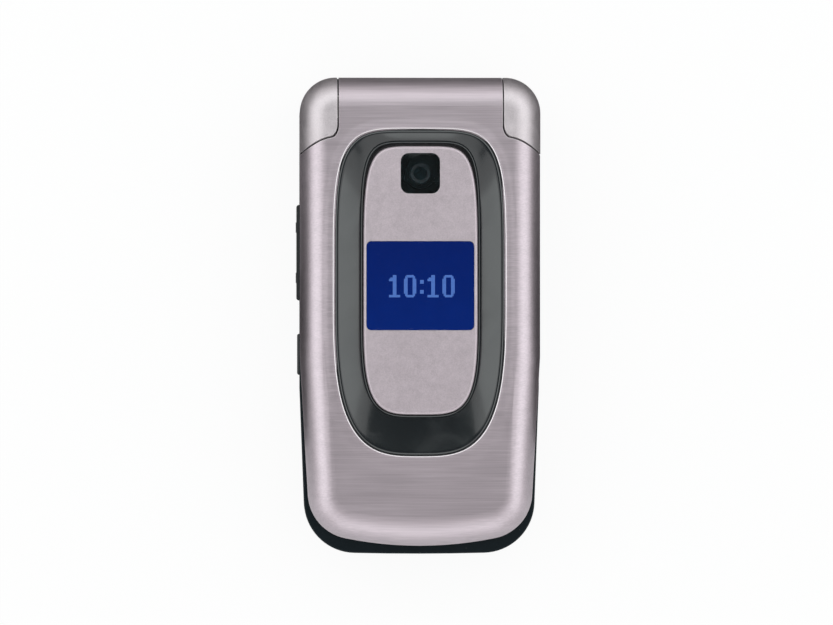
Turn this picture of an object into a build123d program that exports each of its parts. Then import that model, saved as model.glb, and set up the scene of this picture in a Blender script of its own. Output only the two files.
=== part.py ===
"""Folding mobile phone, closed and lying on its back.

Millimetres.  X runs across the phone, +Y points to the hinge end, +Z points out of
the lid.  The origin is the middle of the bottom of the bounding box.
"""
import os

from build123d import *

# ------------------------------------------- battery, which sets the chin's place
battery_length = 46.0
battery_end_y = 11.4
bay_clearance = 0.2
bay_start_y = battery_end_y - battery_length - bay_clearance
chin_depth = 11.4

# ---------------------------------------------------------------- base outline
body_half_width = 23.25
body_chin_half_width = body_half_width - 1.2
body_hinge_end_y = 46.0
body_chin_y = bay_start_y - chin_depth
body_chin_corner_y = body_chin_y + 0.5
body_taper_start_y = -14.0
body_hinge_corner_radius = 7.0
body_chin_corner_radius = 10.0
back_edge_radius = 5.0

# ----------------------------------------------------------------- lid outline
lid_half_width = body_half_width - 0.05
lid_chin_half_width = lid_half_width - 1.9
lid_chin_y = body_chin_y + 1.8
lid_chin_corner_y = lid_chin_y + 3.2
lid_taper_start_y = -8.0
lid_chin_corner_radius = 9.0
lid_edge_radius = 5.5
lid_inner_edge_radius = 1.0
lid_slab_end_y = 36.0
neck_length = 6.0
lid_cavity_end_y = 29.5
neck_pocket_end_y = 34.2
neck_pocket_half_width = lid_half_width - 9.3
neck_pocket_length = 8.0

# --------------------------------------------------------------------- heights
rear_top_z = 9.4
plate_under_z = 10.35
keypad_floor_z = 11.4
base_top_z = 12.0
lid_under_z = 12.3
lid_parting_z = 13.9
lid_ceiling_z = 21.4
lid_top_z = 22.85
ring_lip_z = 23.0

# ----------------------------------------------------------------------- walls
wall = 1.5
lid_wall = 1.3
back_wall = 1.4

# ----------------------------------------------------------------------- hinge
hinge_y = 40.3
hinge_z = 17.15
barrel_radius = 5.7
barrel_half_length = body_half_width - 7.5
trough_radius = 6.0
trough_half_length = barrel_half_length + 0.15
hinge_axis = Axis((0, hinge_y, hinge_z), (1, 0, 0))
hinge_plane = Plane(origin=(0, hinge_y, hinge_z), x_dir=(0, 1, 0), z_dir=(1, 0, 0))
hinge_top_plane = Plane(origin=(0, hinge_y, hinge_z), x_dir=(1, 0, 0), z_dir=(0, 0, 1))

# the seam between lid and shoulder is a surface of revolution about the hinge line
seam_inner_radius = 7.9
seam_outer_radius = 9.4
seam_reach_x = body_half_width + 1.25
seam_corner_radius = 1.6
seam_gap = 0.2

# ---------------------------------------------- sloping ring around the island
ring_top_y = 35.9
ring_bottom_y = lid_chin_y + 17.4
ring_top_half_width = lid_half_width - 7.6
ring_bottom_half_width = lid_half_width - 6.8
ring_top_arch = 2.0
ring_bottom_arch = 0.8
ring_top_corner_radius = 8.4
ring_bottom_corner_radius = 11.5
ring_lip_width = 0.45
ring_flange_width = 0.9
ring_flange_z = 20.7
ring_floor_z = 20.3
groove_width = 0.9
groove_top_z = 21.5
groove_floor_z = 20.9
rim_dish_width = 1.7
rim_dish_depth = 0.25

# ---------------------------------------------------------------------- island
island_top_y = 33.0
island_bottom_y = ring_bottom_y + 7.9
island_top_half_width = ring_top_half_width - 4.7
island_bottom_half_width = ring_bottom_half_width - 5.1
island_arch = 0.5
island_top_corner_radius = 6.4
island_bottom_corner_radius = 5.6
island_top_z = 22.9
island_wall = 1.0
island_under_z = 19.9
island_flange_width = 0.8
island_edge_radius = 0.4

camera_x = -0.1
camera_y = 27.4
camera_window_width = 7.5
camera_window_height = 7.75
camera_window_corner = 1.6
camera_window_thickness = 0.55
camera_window_sink = 0.05
camera_body_size = 7.6
camera_body_under_z = 17.5
camera_barrel_radius = 2.9
camera_lens_radii = (2.1, 1.2, 0.4)
camera_lens_step = 0.35

outer_display_x = -0.1
outer_display_y = 5.8
outer_display_width = 2 * (island_bottom_half_width - 0.95)
outer_display_height = 17.1
outer_display_corner = 1.0
outer_display_ledge = 1.0
outer_display_window_thickness = 0.72
outer_display_window_sink = 0.08
outer_display_module_thickness = 1.6

# ------------------------------------------------------------ inner lid pieces
inner_display_y = -2.0
inner_window_width = 2 * (lid_half_width - 7.2)
inner_window_height = 42.0
inner_window_corner = 2.0
inner_window_thickness = 0.75
inner_window_sink = 0.15
inner_view_width = inner_window_width - 3.5
inner_view_height = 36.0
inner_module_width = inner_window_width + 1.0
inner_module_height = 43.0
lid_board_under_z = 16.7
lid_board_thickness = 0.8
lid_board_width = 2 * (neck_pocket_half_width - 0.4)
lid_board_start_y = lid_chin_y + 19.4
lid_board_end_y = 30.5
lid_connector_y = 26.5

earpiece_y = lid_chin_y + 7.4
earpiece_width = 12.0
earpiece_height = 6.4
earpiece_thickness = 2.6
earpiece_slot_length = 8.0
earpiece_slot_width = 1.0
earpiece_slot_pitch = 1.8
earpiece_slot_count = 3

vibra_x = -6.0
vibra_y = lid_chin_y + 14.9
vibra_radius = 2.0
vibra_length = 8.0
vibra_boot_length = 6.0
vibra_shaft_radius = 0.35
vibra_weight_radius = 1.8
vibra_weight_length = 2.6
vibra_weight_gap = 0.5

lid_screw_chin_x = lid_half_width - 5.9
lid_screw_chin_y = lid_chin_y + 13.4
lid_screw_hinge_x = lid_half_width - 3.9
lid_screw_hinge_y = 22.5
lid_boss_radius = 1.9
lid_boss_top_z = 20.6
bumper_radius = 1.6
bumper_under_z = 12.05
lid_screw_head_z = 12.7
lid_screw_head_top_z = 13.3
screw_head_radius = 1.35
screw_shank_radius = 0.7
lid_screw_length = 5.0

# ------------------------------------------------------- hinge inner mechanism
can_radius = 3.2
can_wall = 0.4
can_start_x = -(barrel_half_length - 0.05)
can_end_x = -2.0
can_bore_end_x = -1.0
shaft_journal_radius = 2.7
shaft_cam_x = -12.0
shaft_pin_radius = 0.7
shaft_pin_end_x = -2.0
shaft_head_end_x = -(body_half_width - 3.75)
shaft_head_width = 4.6
shaft_head_height = 3.2
cam_notch_depth = 0.6
cam_ridge_height = 0.5
cam_gap = 0.05
follower_back_x = -9.5
spring_wire_radius = 0.35
spring_radius = 2.1
spring_turns = 5
spring_end_gap = 0.1
coil_bore_radius = 4.4
coil_bore_start_x = 1.0
coil_bore_end_x = barrel_half_length - 1.25
pivot_radius = 2.85
pivot_bore_radius = 2.2
pivot_end_x = barrel_half_length - 2.25
pivot_hole_radius = 2.9

flex_thickness = 0.2
flex_start_x = 2.0
flex_width = 6.0
flex_inner_drop = 1.5
flex_inner_rise = 2.6
flex_outer_drop = 2.9
flex_tail_end_y = 24.5
flex_slot_clearance = 0.4
flex_strip_width = 3.0
flex_strip_x = body_half_width - 4.25
flex_foot_x = flex_strip_x - 4.0

# -------------------------------------------------------------------- shoulder
shoulder_wall = 1.3
shoulder_hollow_radius = 3.6
shoulder_hollow_end_x = body_half_width - 3.45

# ---------------------------------------------------------------------- keypad
keypad_recess_width = 2 * (body_half_width - 3.25)
keypad_recess_top_y = 29.6
keypad_recess_bottom_y = body_chin_y + 7.2
keypad_recess_corner = 7.0
key_gap = 0.15
key_top_z = 12.0
key_flange = 0.45
key_flange_top_z = 10.25
key_flange_under_z = 9.85
key_nub_under_z = 9.15
key_nub_radius = 1.5
key_edge_radius = 0.35
number_key_height = 6.6
number_key_corner = 2.4
number_column_pitch = (keypad_recess_width - 1.3) / 3
number_key_width = number_column_pitch - 1.5
number_row_pitch = 8.8
number_first_row_y = -2.6
side_function_x = number_column_pitch + 1.3
soft_key_y = 24.6
call_key_y = 9.6
function_key_width = 8.4
function_key_height = 5.4
function_key_corner = 2.2

ring_key_y = 17.1
ring_key_radius = 8.2
ring_key_hole_radius = 3.5
ring_key_gap = 0.3
ring_key_top_z = 11.9
ring_key_flange_radius = 8.9
ring_key_flange_under_z = 9.68
ring_key_flange_top_z = 9.96
ring_key_dish_depth = 0.25
select_key_radius = 3.2
select_key_top_z = 11.95
select_key_under_z = 9.2
pusher_radius = 7.8
pusher_hole_radius = 3.8
pusher_under_z = 9.15
pusher_top_z = 9.45
pusher_nub_under_z = 9.05
pusher_nub_radius = 1.1
pusher_nub_offset = 5.9

web_under_z = 8.5
web_thickness = 0.8
web_width = keypad_recess_width - 3.5
web_start_y = -36.0
web_end_y = 28.0
web_hole_radius = 2.6
web_ring_hole_radius = 9.3
dome_sheet_thickness = 0.1
dome_height = 0.25
dome_radius = 2.2
dome_top_radius = 1.2
ring_dome_radius = 1.6
ring_dome_top_radius = 0.9

# ------------------------------------------------------------------- main board
board_under_z = 7.6
board_thickness = 0.8
board_half_width = body_half_width - 5.35
board_chin_half_width = board_half_width - 4.2
board_step_y = body_chin_y + 12.2
board_start_y = body_chin_y + 3.0
board_end_y = 42.5
shield_width = 14.4
shield_length = 18.0
shield_height = 2.2
shield_x = 8.4
shield_y = 26.0
microphone_x = 11.2
microphone_y = body_chin_y + 4.7
microphone_radius = 2.0
microphone_height = 1.6
microphone_hole_radius = 0.5

# --------------------------------------------------------- battery and its bay
battery_width = 2 * (body_half_width - 6.25)
battery_thickness = 4.6
battery_centre_y = battery_end_y - battery_length / 2
battery_under_z = 1.5
battery_corner = 1.2
bay_top_z = 6.3
bay_floor_thickness = 1.3
bay_wall = 0.9
bay_end_y = battery_end_y + 0.4

cover_half_width = body_half_width - 4.25
cover_end_y = 14.0
cover_thickness = 1.2
cover_gap = 0.1
cover_rail_inner_x = cover_half_width - 0.8
cover_rail_outer_x = cover_half_width + 0.7
cover_rail_height = 0.6
cover_grip_y = -2.0
cover_grip_pitch = 1.6
cover_grip_count = 7
cover_grip_length = 16.0
cover_grip_radius = 0.3
tray_floor_z = 3.0

contact_width = 10.0
contact_end_y = 15.3
contact_leaf_count = 3
contact_leaf_pitch = 2.8
contact_leaf_width = 1.0
contact_leaf_end_y = battery_end_y + 0.05
contact_leaf_under_z = 4.0
contact_leaf_height = 1.2
contact_opening_width = 8.6
contact_opening_height = 2.4

sim_y = -20.0
sim_width = 26.0
sim_length = 16.0
sim_thickness = 1.2
sim_gap = 0.2

# ------------------------------------------------ speaker, antenna, connectors
speaker_x = -8.0
speaker_y = 26.0
speaker_radius = 7.4
speaker_thickness = 3.6
speaker_rim = 1.0
speaker_dish_depth = 0.5
grille_slot_count = 5
grille_slot_pitch = 2.2
grille_slot_width = 1.0
grille_slot_length = 9.0

antenna_y = 38.3
antenna_width = 30.0
antenna_length = 5.4
antenna_thickness = 0.3
antenna_carrier_height = 3.4
antenna_slot_width = 1.0
antenna_slot_length = 22.0

jack_x = -9.0
jack_z = 5.8
jack_width = 5.2
jack_length = 8.6
jack_height = 3.6
jack_bore_radius = 1.0
jack_bore_depth = 6.0
jack_opening_radius = 1.5
connector_x = 2.2
connector_width = 13.4
connector_length = 6.4
connector_height = 3.0
connector_mouth_width = 12.0
connector_mouth_height = 1.8
connector_mouth_depth = 4.0
connector_tongue_height = 0.6

# ----------------------------------------------------------- screws of the base
base_screw_hinge_x = body_half_width - 5.65
base_screw_hinge_y = 30.0
base_screw_chin_x = body_half_width - 7.45
base_screw_chin_y = body_chin_y + 8.0
base_boss_radius = 1.7
base_boss_under_z = 5.0
base_post_radius = 2.0
screw_recess_radius = 1.5
screw_head_height = 1.0
hinge_screw_head_z = 0.4
chin_screw_head_z = 1.7
base_screw_end_z = 8.6
driver_recess_radius = 0.7
driver_recess_depth = 0.5

# -------------------------------------------------------------------- side keys
side_key_z = 7.4
side_key_height = 3.0
side_window_depth = 4.0
side_key_wall_x = wall - body_half_width
rocker_y = 12.3
rocker_length = 18.6
rocker_reach_x = -(body_half_width + 0.6)
rocker_bump_reach = 0.12
rocker_bump_offset = 4.9
rocker_bump_length = 2.0
rocker_flange_x = side_key_wall_x + 0.45
rocker_flange_back_x = rocker_flange_x + 0.35
side_flange = 0.5
bracket_face_x = side_key_wall_x + 1.15
bracket_thickness = 0.4
bracket_start_y = -13.5
bracket_end_y = 23.0
bracket_height = 4.6
side_dome_radius = 1.5
side_dome_top_radius = 0.9
side_dome_height = 0.15
rocker_dome_offset = 7.0
side_button_y = -7.5
side_button_length = 8.0
side_button_reach_x = -(body_half_width + 0.45)
side_button_flange_x = side_key_wall_x + 0.15
side_button_back_x = side_button_flange_x + 0.5
side_key_gap = 0.18


# ------------------------------------------------------------- shared outlines
def body_outline(inset=0.0):
    """Draw the outline of the base in the open sketch, pulled in by the inset."""
    chin = (body_chin_half_width, body_chin_corner_y)
    taper = (body_half_width, body_taper_start_y)
    corner = (body_half_width, body_hinge_end_y)
    with BuildLine() as outline:
        ThreePointArc((-chin[0], chin[1]), (0, body_chin_y), chin)
        Polyline(chin, taper, corner, (-corner[0], corner[1]), (-taper[0], taper[1]), (-chin[0], chin[1]))
    make_face(outline.edges())
    fillet(vertices().group_by(Axis.Y)[0], radius=body_chin_corner_radius)
    fillet(vertices().group_by(Axis.Y)[-1], radius=body_hinge_corner_radius)
    if inset:
        offset(amount=-inset)


def lid_outline(inset=0.0, end_y=lid_slab_end_y):
    """Draw the outline of the lid in the open sketch, cut off square toward the hinge."""
    chin = (lid_chin_half_width, lid_chin_corner_y)
    taper = (lid_half_width, lid_taper_start_y)
    corner = (lid_half_width, end_y + inset)
    with BuildLine() as outline:
        ThreePointArc((-chin[0], chin[1]), (0, lid_chin_y), chin)
        Polyline(chin, taper, corner, (-corner[0], corner[1]), (-taper[0], taper[1]), (-chin[0], chin[1]))
    make_face(outline.edges())
    fillet(vertices().group_by(Axis.Y)[0], radius=lid_chin_corner_radius)
    if inset:
        offset(amount=-inset)


def soft_outline(top, bottom, top_arch, bottom_arch, top_radius, bottom_radius, grow=0.0):
    """Draw a tall rounded shape from its top and bottom (half width, y) in the open sketch."""
    top_corner = (top[0], top[1] - top_arch)
    bottom_corner = (bottom[0], bottom[1] + bottom_arch)
    with BuildLine() as outline:
        ThreePointArc((-top_corner[0], top_corner[1]), (0, top[1]), top_corner)
        Line(top_corner, bottom_corner)
        ThreePointArc(bottom_corner, (0, bottom[1]), (-bottom_corner[0], bottom_corner[1]))
        Line((-bottom_corner[0], bottom_corner[1]), (-top_corner[0], top_corner[1]))
    make_face(outline.edges())
    fillet(vertices().group_by(Axis.Y)[0], radius=bottom_radius)
    fillet(vertices().group_by(Axis.Y)[-1], radius=top_radius)
    if grow:
        offset(amount=grow)


def ring_outline(grow=0.0):
    """Draw the outer outline of the sloping ring in the open sketch."""
    soft_outline(
        (ring_top_half_width, ring_top_y),
        (ring_bottom_half_width, ring_bottom_y),
        ring_top_arch,
        ring_bottom_arch,
        ring_top_corner_radius,
        ring_bottom_corner_radius,
        grow,
    )


def island_outline(grow=0.0):
    """Draw the outline of the island in the open sketch."""
    soft_outline(
        (island_top_half_width, island_top_y),
        (island_bottom_half_width, island_bottom_y),
        island_arch,
        island_arch,
        island_top_corner_radius,
        island_bottom_corner_radius,
        grow,
    )


def mirrored(x, y):
    """Give the point and its mirror image across the middle of the phone."""
    return [(x, y), (-x, y)]


# ---------------------------------------------------------------- shared forms
def seam_zone(side, inner_x, growth):
    """Solid of revolution about the hinge line that a shoulder keeps for itself."""
    inner = seam_inner_radius + growth
    outer = seam_outer_radius + growth
    with BuildPart() as zone:
        with BuildSketch(hinge_top_plane):
            with BuildLine():
                Polyline(
                    (side * inner_x, 0),
                    (side * inner_x, inner),
                    (side * seam_reach_x, outer),
                    (side * seam_reach_x, 0),
                    close=True,
                )
            make_face()
            fillet(vertices().sort_by_distance((side * inner_x, inner))[0], radius=seam_corner_radius)
        revolve(axis=hinge_axis)
    return zone.part


def lid_form(inset, floor_z, ceiling_z, edge_radius, end_y):
    """Block with the outline of the lid and a rounded upper edge, open toward the hinge."""
    with BuildPart() as form:
        with BuildSketch(Plane.XY.offset(floor_z)):
            lid_outline(inset, end_y)
        extrude(amount=ceiling_z - floor_z)
        upper_edges = form.faces().sort_by(Axis.Z)[-1].edges()
        fillet(upper_edges.sort_by(Axis.Y)[:-1], radius=edge_radius)
    return form.part


def body_form(inset, floor_z, ceiling_z):
    """Block with the outline of the base between two heights."""
    with BuildPart() as form:
        with BuildSketch(Plane.XY.offset(floor_z)):
            body_outline(inset)
        extrude(amount=ceiling_z - floor_z)
    return form.part


left_seam = seam_zone(-1, barrel_half_length, seam_gap)
right_seam = seam_zone(1, barrel_half_length, seam_gap)
lid_screw_places = mirrored(lid_screw_chin_x, lid_screw_chin_y) + mirrored(lid_screw_hinge_x, lid_screw_hinge_y)

# ============================================================== LID: OUTER SHELL
lid_block = lid_form(0.0, lid_parting_z, lid_top_z, lid_edge_radius, lid_slab_end_y)
lid_cavity = lid_form(lid_wall, lid_parting_z, lid_ceiling_z, lid_edge_radius - lid_wall, lid_cavity_end_y)

with BuildPart() as lid_outer_shell:
    add(lid_block)
    # neck and hinge barrel in one side profile
    barrel_foot_y = -(barrel_radius**2 - (hinge_z - lid_under_z) ** 2) ** 0.5
    with BuildSketch(hinge_plane.offset(-barrel_half_length)):
        with BuildLine():
            ThreePointArc(
                (0, barrel_radius),
                (barrel_radius, 0),
                (barrel_foot_y, lid_under_z - hinge_z),
            )
            Polyline(
                (barrel_foot_y, lid_under_z - hinge_z),
                (lid_slab_end_y - hinge_y, lid_under_z - hinge_z),
                (lid_slab_end_y - hinge_y, lid_parting_z - hinge_z),
                (lid_slab_end_y - neck_length - hinge_y, lid_parting_z - hinge_z),
                (lid_slab_end_y - neck_length - hinge_y, barrel_radius),
                (0, barrel_radius),
            )
        make_face()
    extrude(amount=2 * barrel_half_length)
    # hollow inside, then room for the shoulders
    add(lid_cavity, mode=Mode.SUBTRACT)
    add(left_seam, mode=Mode.SUBTRACT)
    add(right_seam, mode=Mode.SUBTRACT)
    # pocket in the neck, for the end of the board and the camera
    with BuildSketch(Plane.XY.offset(lid_parting_z)):
        with Locations((0, neck_pocket_end_y - neck_pocket_length / 2)):
            Rectangle(2 * neck_pocket_half_width, neck_pocket_length)
    extrude(amount=lid_ceiling_z - lid_parting_z, mode=Mode.SUBTRACT)
    # opening for the sloping ring and its flange, with a shallow dish around it
    with BuildSketch(Plane.XY.offset(ring_floor_z)):
        ring_outline()
    extrude(amount=lid_top_z - ring_floor_z, mode=Mode.SUBTRACT)
    with BuildSketch(Plane.XY.offset(ring_flange_z)):
        ring_outline(ring_flange_width)
    extrude(amount=lid_ceiling_z - ring_flange_z, mode=Mode.SUBTRACT)
    # bore for the hinge can on the left, for the coiled flex on the right
    with BuildSketch(hinge_plane.offset(-barrel_half_length)):
        Circle(can_radius)
    extrude(amount=can_bore_end_x + barrel_half_length, mode=Mode.SUBTRACT)
    with BuildSketch(hinge_plane.offset(coil_bore_start_x)):
        Circle(coil_bore_radius)
    extrude(amount=coil_bore_end_x - coil_bore_start_x, mode=Mode.SUBTRACT)
    with BuildSketch(hinge_plane.offset(coil_bore_end_x)):
        Circle(pivot_hole_radius)
    extrude(amount=barrel_half_length - coil_bore_end_x, mode=Mode.SUBTRACT)
    # slot that lets the flex out of the barrel into the lid
    slot_length = hinge_y - neck_pocket_end_y
    with Locations((flex_start_x + flex_width / 2, hinge_y - slot_length / 2, hinge_z - flex_outer_drop)):
        Box(
            flex_width + 2 * flex_slot_clearance,
            slot_length,
            2 * flex_slot_clearance,
            mode=Mode.SUBTRACT,
        )
    # screw bosses
    with BuildSketch(Plane.XY.offset(lid_parting_z)):
        with Locations(*lid_screw_places):
            Circle(lid_boss_radius)
    extrude(amount=lid_boss_top_z - lid_parting_z)
    with BuildSketch(Plane.XY.offset(lid_parting_z)):
        with Locations(*lid_screw_places):
            Circle(screw_shank_radius)
    extrude(amount=lid_screw_length, mode=Mode.SUBTRACT)
    with BuildSketch(Plane.XY.offset(lid_top_z)):
        ring_outline(rim_dish_width)
    with BuildSketch(Plane.XY.offset(lid_top_z - rim_dish_depth)):
        ring_outline()
    loft(mode=Mode.SUBTRACT)
lid_outer_shell.part.label = "lid_outer_shell"

# ============================================================== LID: INNER COVER
with BuildPart() as lid_inner_cover:
    with BuildSketch(Plane.XY.offset(lid_under_z)):
        lid_outline()
    extrude(amount=lid_parting_z - lid_under_z)
    lower_edges = lid_inner_cover.faces().sort_by(Axis.Z)[0].edges()
    fillet(lower_edges.sort_by(Axis.Y)[:-1], radius=lid_inner_edge_radius)
    # the neck of the outer shell takes the last part toward the hinge
    add(left_seam, mode=Mode.SUBTRACT)
    add(right_seam, mode=Mode.SUBTRACT)
    # recess for the display window, and the opening behind it
    with BuildSketch(Plane.XY.offset(lid_under_z)):
        with Locations((0, inner_display_y)):
            RectangleRounded(inner_window_width, inner_window_height, inner_window_corner)
    extrude(amount=inner_window_sink + inner_window_thickness, mode=Mode.SUBTRACT)
    with BuildSketch(Plane.XY.offset(lid_under_z)):
        with Locations((0, inner_display_y)):
            RectangleRounded(inner_view_width, inner_view_height, inner_window_corner)
    extrude(amount=lid_parting_z - lid_under_z, mode=Mode.SUBTRACT)
    # slots of the earpiece
    with BuildSketch(Plane.XY.offset(lid_under_z)):
        with Locations((0, earpiece_y)):
            with GridLocations(0, earpiece_slot_pitch, 1, earpiece_slot_count):
                SlotOverall(earpiece_slot_length, earpiece_slot_width)
    extrude(amount=lid_parting_z - lid_under_z, mode=Mode.SUBTRACT)
    # screw holes, closed by the bumpers
    with BuildSketch(Plane.XY.offset(lid_under_z)):
        with Locations(*lid_screw_places):
            Circle(bumper_radius)
    extrude(amount=lid_screw_head_top_z - lid_under_z, mode=Mode.SUBTRACT)
    with BuildSketch(Plane.XY.offset(lid_under_z)):
        with Locations(*lid_screw_places):
            Circle(screw_shank_radius)
    extrude(amount=lid_parting_z - lid_under_z, mode=Mode.SUBTRACT)
lid_inner_cover.part.label = "lid_inner_cover"

# ============================================================ LID: SLOPING RING
with BuildPart() as trough_ring:
    with BuildSketch(Plane.XY.offset(ring_floor_z)):
        ring_outline()
    extrude(amount=ring_lip_z - ring_floor_z)
    with BuildSketch(Plane.XY.offset(ring_flange_z)):
        ring_outline(ring_flange_width)
    extrude(amount=lid_ceiling_z - ring_flange_z)
    # channel that falls from the lip to the foot of the island
    with BuildSketch(Plane.XY.offset(ring_lip_z)):
        ring_outline(-ring_lip_width)
    with BuildSketch(Plane.XY.offset(groove_top_z)):
        island_outline(groove_width)
    loft(mode=Mode.SUBTRACT)
    with BuildSketch(Plane.XY.offset(groove_floor_z)):
        island_outline(groove_width)
    extrude(amount=groove_top_z - groove_floor_z, mode=Mode.SUBTRACT)
    with BuildSketch(Plane.XY.offset(ring_floor_z)):
        island_outline()
    extrude(amount=ring_lip_z - ring_floor_z, mode=Mode.SUBTRACT)
trough_ring.part.label = "trough_ring"

# ================================================================== LID: ISLAND
with BuildPart() as display_island:
    with BuildSketch(Plane.XY.offset(island_under_z)):
        island_outline()
    extrude(amount=island_top_z - island_under_z)
    fillet(display_island.faces().sort_by(Axis.Z)[-1].edges(), radius=island_edge_radius)
    with BuildSketch(Plane.XY.offset(island_under_z)):
        island_outline(island_flange_width)
    extrude(amount=ring_floor_z - island_under_z)
    with BuildSketch(Plane.XY.offset(island_under_z)):
        island_outline(-island_wall)
    extrude(amount=island_top_z - island_wall - island_under_z, mode=Mode.SUBTRACT)
    # seats and openings of the display window and the camera window
    display_seat_depth = outer_display_window_thickness + outer_display_window_sink
    with BuildSketch(Plane.XY.offset(island_top_z - display_seat_depth)):
        with Locations((outer_display_x, outer_display_y)):
            RectangleRounded(outer_display_width, outer_display_height, outer_display_corner)
    extrude(amount=display_seat_depth, mode=Mode.SUBTRACT)
    with BuildSketch(Plane.XY.offset(island_under_z)):
        with Locations((outer_display_x, outer_display_y)):
            Rectangle(
                outer_display_width - 2 * outer_display_ledge,
                outer_display_height - 2 * outer_display_ledge,
            )
    extrude(amount=island_top_z - island_under_z, mode=Mode.SUBTRACT)
    camera_seat_depth = camera_window_thickness + camera_window_sink
    with BuildSketch(Plane.XY.offset(island_top_z - camera_seat_depth)):
        with Locations((camera_x, camera_y)):
            RectangleRounded(camera_window_width, camera_window_height, camera_window_corner)
    extrude(amount=camera_seat_depth, mode=Mode.SUBTRACT)
    with BuildSketch(Plane.XY.offset(island_under_z)):
        with Locations((camera_x, camera_y)):
            Circle(camera_barrel_radius)
    extrude(amount=island_top_z - island_under_z, mode=Mode.SUBTRACT)
display_island.part.label = "display_island"

# =========================================== LID: OUTER DISPLAY AND ITS WINDOW
with BuildPart() as outer_display_window:
    with BuildSketch(Plane.XY.offset(island_top_z - display_seat_depth)):
        with Locations((outer_display_x, outer_display_y)):
            RectangleRounded(outer_display_width, outer_display_height, outer_display_corner)
    extrude(amount=outer_display_window_thickness)
outer_display_window.part.label = "outer_display_window"

outer_module_top_z = island_top_z - island_wall
with BuildPart() as outer_display_module:
    with BuildSketch(Plane.XY.offset(outer_module_top_z - outer_display_module_thickness)):
        with Locations((0, outer_display_y)):
            Rectangle(outer_display_width - 2 * island_wall, outer_display_height)
    extrude(amount=outer_display_module_thickness)
outer_display_module.part.label = "outer_display_module"

# ================================================ LID: CAMERA AND ITS WINDOW
with BuildPart() as camera_window:
    with BuildSketch(Plane.XY.offset(island_top_z - camera_seat_depth)):
        with Locations((camera_x, camera_y)):
            RectangleRounded(camera_window_width, camera_window_height, camera_window_corner)
    extrude(amount=camera_window_thickness)
camera_window.part.label = "camera_window"

with BuildPart() as camera_module:
    with BuildSketch(Plane.XY.offset(camera_body_under_z)):
        with Locations((camera_x, camera_y)):
            Rectangle(camera_body_size, camera_body_size)
    extrude(amount=island_top_z - island_wall - camera_body_under_z)
    with BuildSketch(Plane.XY.offset(camera_body_under_z)):
        with Locations((camera_x, camera_y)):
            Circle(camera_barrel_radius)
    extrude(amount=island_top_z - camera_seat_depth - camera_body_under_z)
    # stepped rings that lead down to the lens
    lens_z = island_top_z - camera_seat_depth
    for step, radius in enumerate(camera_lens_radii, start=1):
        with BuildSketch(Plane.XY.offset(lens_z - step * camera_lens_step)):
            with Locations((camera_x, camera_y)):
                Circle(radius)
        extrude(amount=camera_lens_step, mode=Mode.SUBTRACT)
camera_module.part.label = "camera_module"

# =========================================== LID: INNER DISPLAY AND ITS WINDOW
with BuildPart() as inner_display_window:
    with BuildSketch(Plane.XY.offset(lid_under_z + inner_window_sink)):
        with Locations((0, inner_display_y)):
            RectangleRounded(inner_window_width, inner_window_height, inner_window_corner)
    extrude(amount=inner_window_thickness)
inner_display_window.part.label = "inner_display_window"

with BuildPart() as inner_display_module:
    with BuildSketch(Plane.XY.offset(lid_parting_z)):
        with Locations((0, inner_display_y)):
            Rectangle(inner_module_width, inner_module_height)
    extrude(amount=lid_board_under_z - lid_parting_z)
    fillet(inner_display_module.edges().filter_by(Axis.Z), radius=1)
inner_display_module.part.label = "inner_display_module"

# ========================================================= LID: CIRCUIT BOARD
with BuildPart() as lid_board:
    with BuildSketch(Plane.XY.offset(lid_board_under_z)):
        with Locations((0, (lid_board_start_y + lid_board_end_y) / 2)):
            RectangleRounded(lid_board_width, lid_board_end_y - lid_board_start_y, 2)
    extrude(amount=lid_board_thickness)
    # connector that takes the tail of the flex
    connector_under_z = hinge_z - flex_outer_drop + flex_thickness / 2
    with BuildSketch(Plane.XY.offset(connector_under_z)):
        with Locations((flex_start_x + flex_width / 2, lid_connector_y)):
            Rectangle(flex_width + 1, 3)
    extrude(amount=lid_board_under_z - connector_under_z)
lid_board.part.label = "lid_board"

# ============================================================= LID: EARPIECE
with BuildPart() as earpiece:
    with BuildSketch(Plane.XY.offset(lid_parting_z)):
        with Locations((0, earpiece_y)):
            RectangleRounded(earpiece_width, earpiece_height, 2.6)
    extrude(amount=earpiece_thickness)
    # shallow sound chamber over the slots
    with BuildSketch(Plane.XY.offset(lid_parting_z)):
        with Locations((0, earpiece_y)):
            RectangleRounded(earpiece_width - 1.6, earpiece_height - 1.6, 1.8)
    extrude(amount=0.5, mode=Mode.SUBTRACT)
earpiece.part.label = "earpiece"

# ====================================== LID: VIBRATION MOTOR AND ITS WEIGHT
vibra_plane = Plane(
    origin=(vibra_x, vibra_y, lid_parting_z + vibra_radius + 0.1),
    x_dir=(0, 1, 0),
    z_dir=(1, 0, 0),
)
vibra_shaft_gap = 0.05
with BuildPart() as vibra_motor:
    with BuildSketch(vibra_plane.offset(-vibra_length / 2)):
        Circle(vibra_radius)
    extrude(amount=vibra_length)
    # rubber boot that seats the motor on the inner cover
    with BuildSketch(vibra_plane.offset(-vibra_boot_length / 2)):
        with Locations((0, -1)):
            Rectangle(2 * vibra_radius, vibra_radius * 1.1)
    extrude(amount=vibra_boot_length)
    with BuildSketch(vibra_plane.offset(-vibra_length / 2)):
        Circle(vibra_shaft_radius + vibra_shaft_gap)
    extrude(amount=vibra_length - 1, mode=Mode.SUBTRACT)
vibra_motor.part.label = "vibra_motor"

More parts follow.
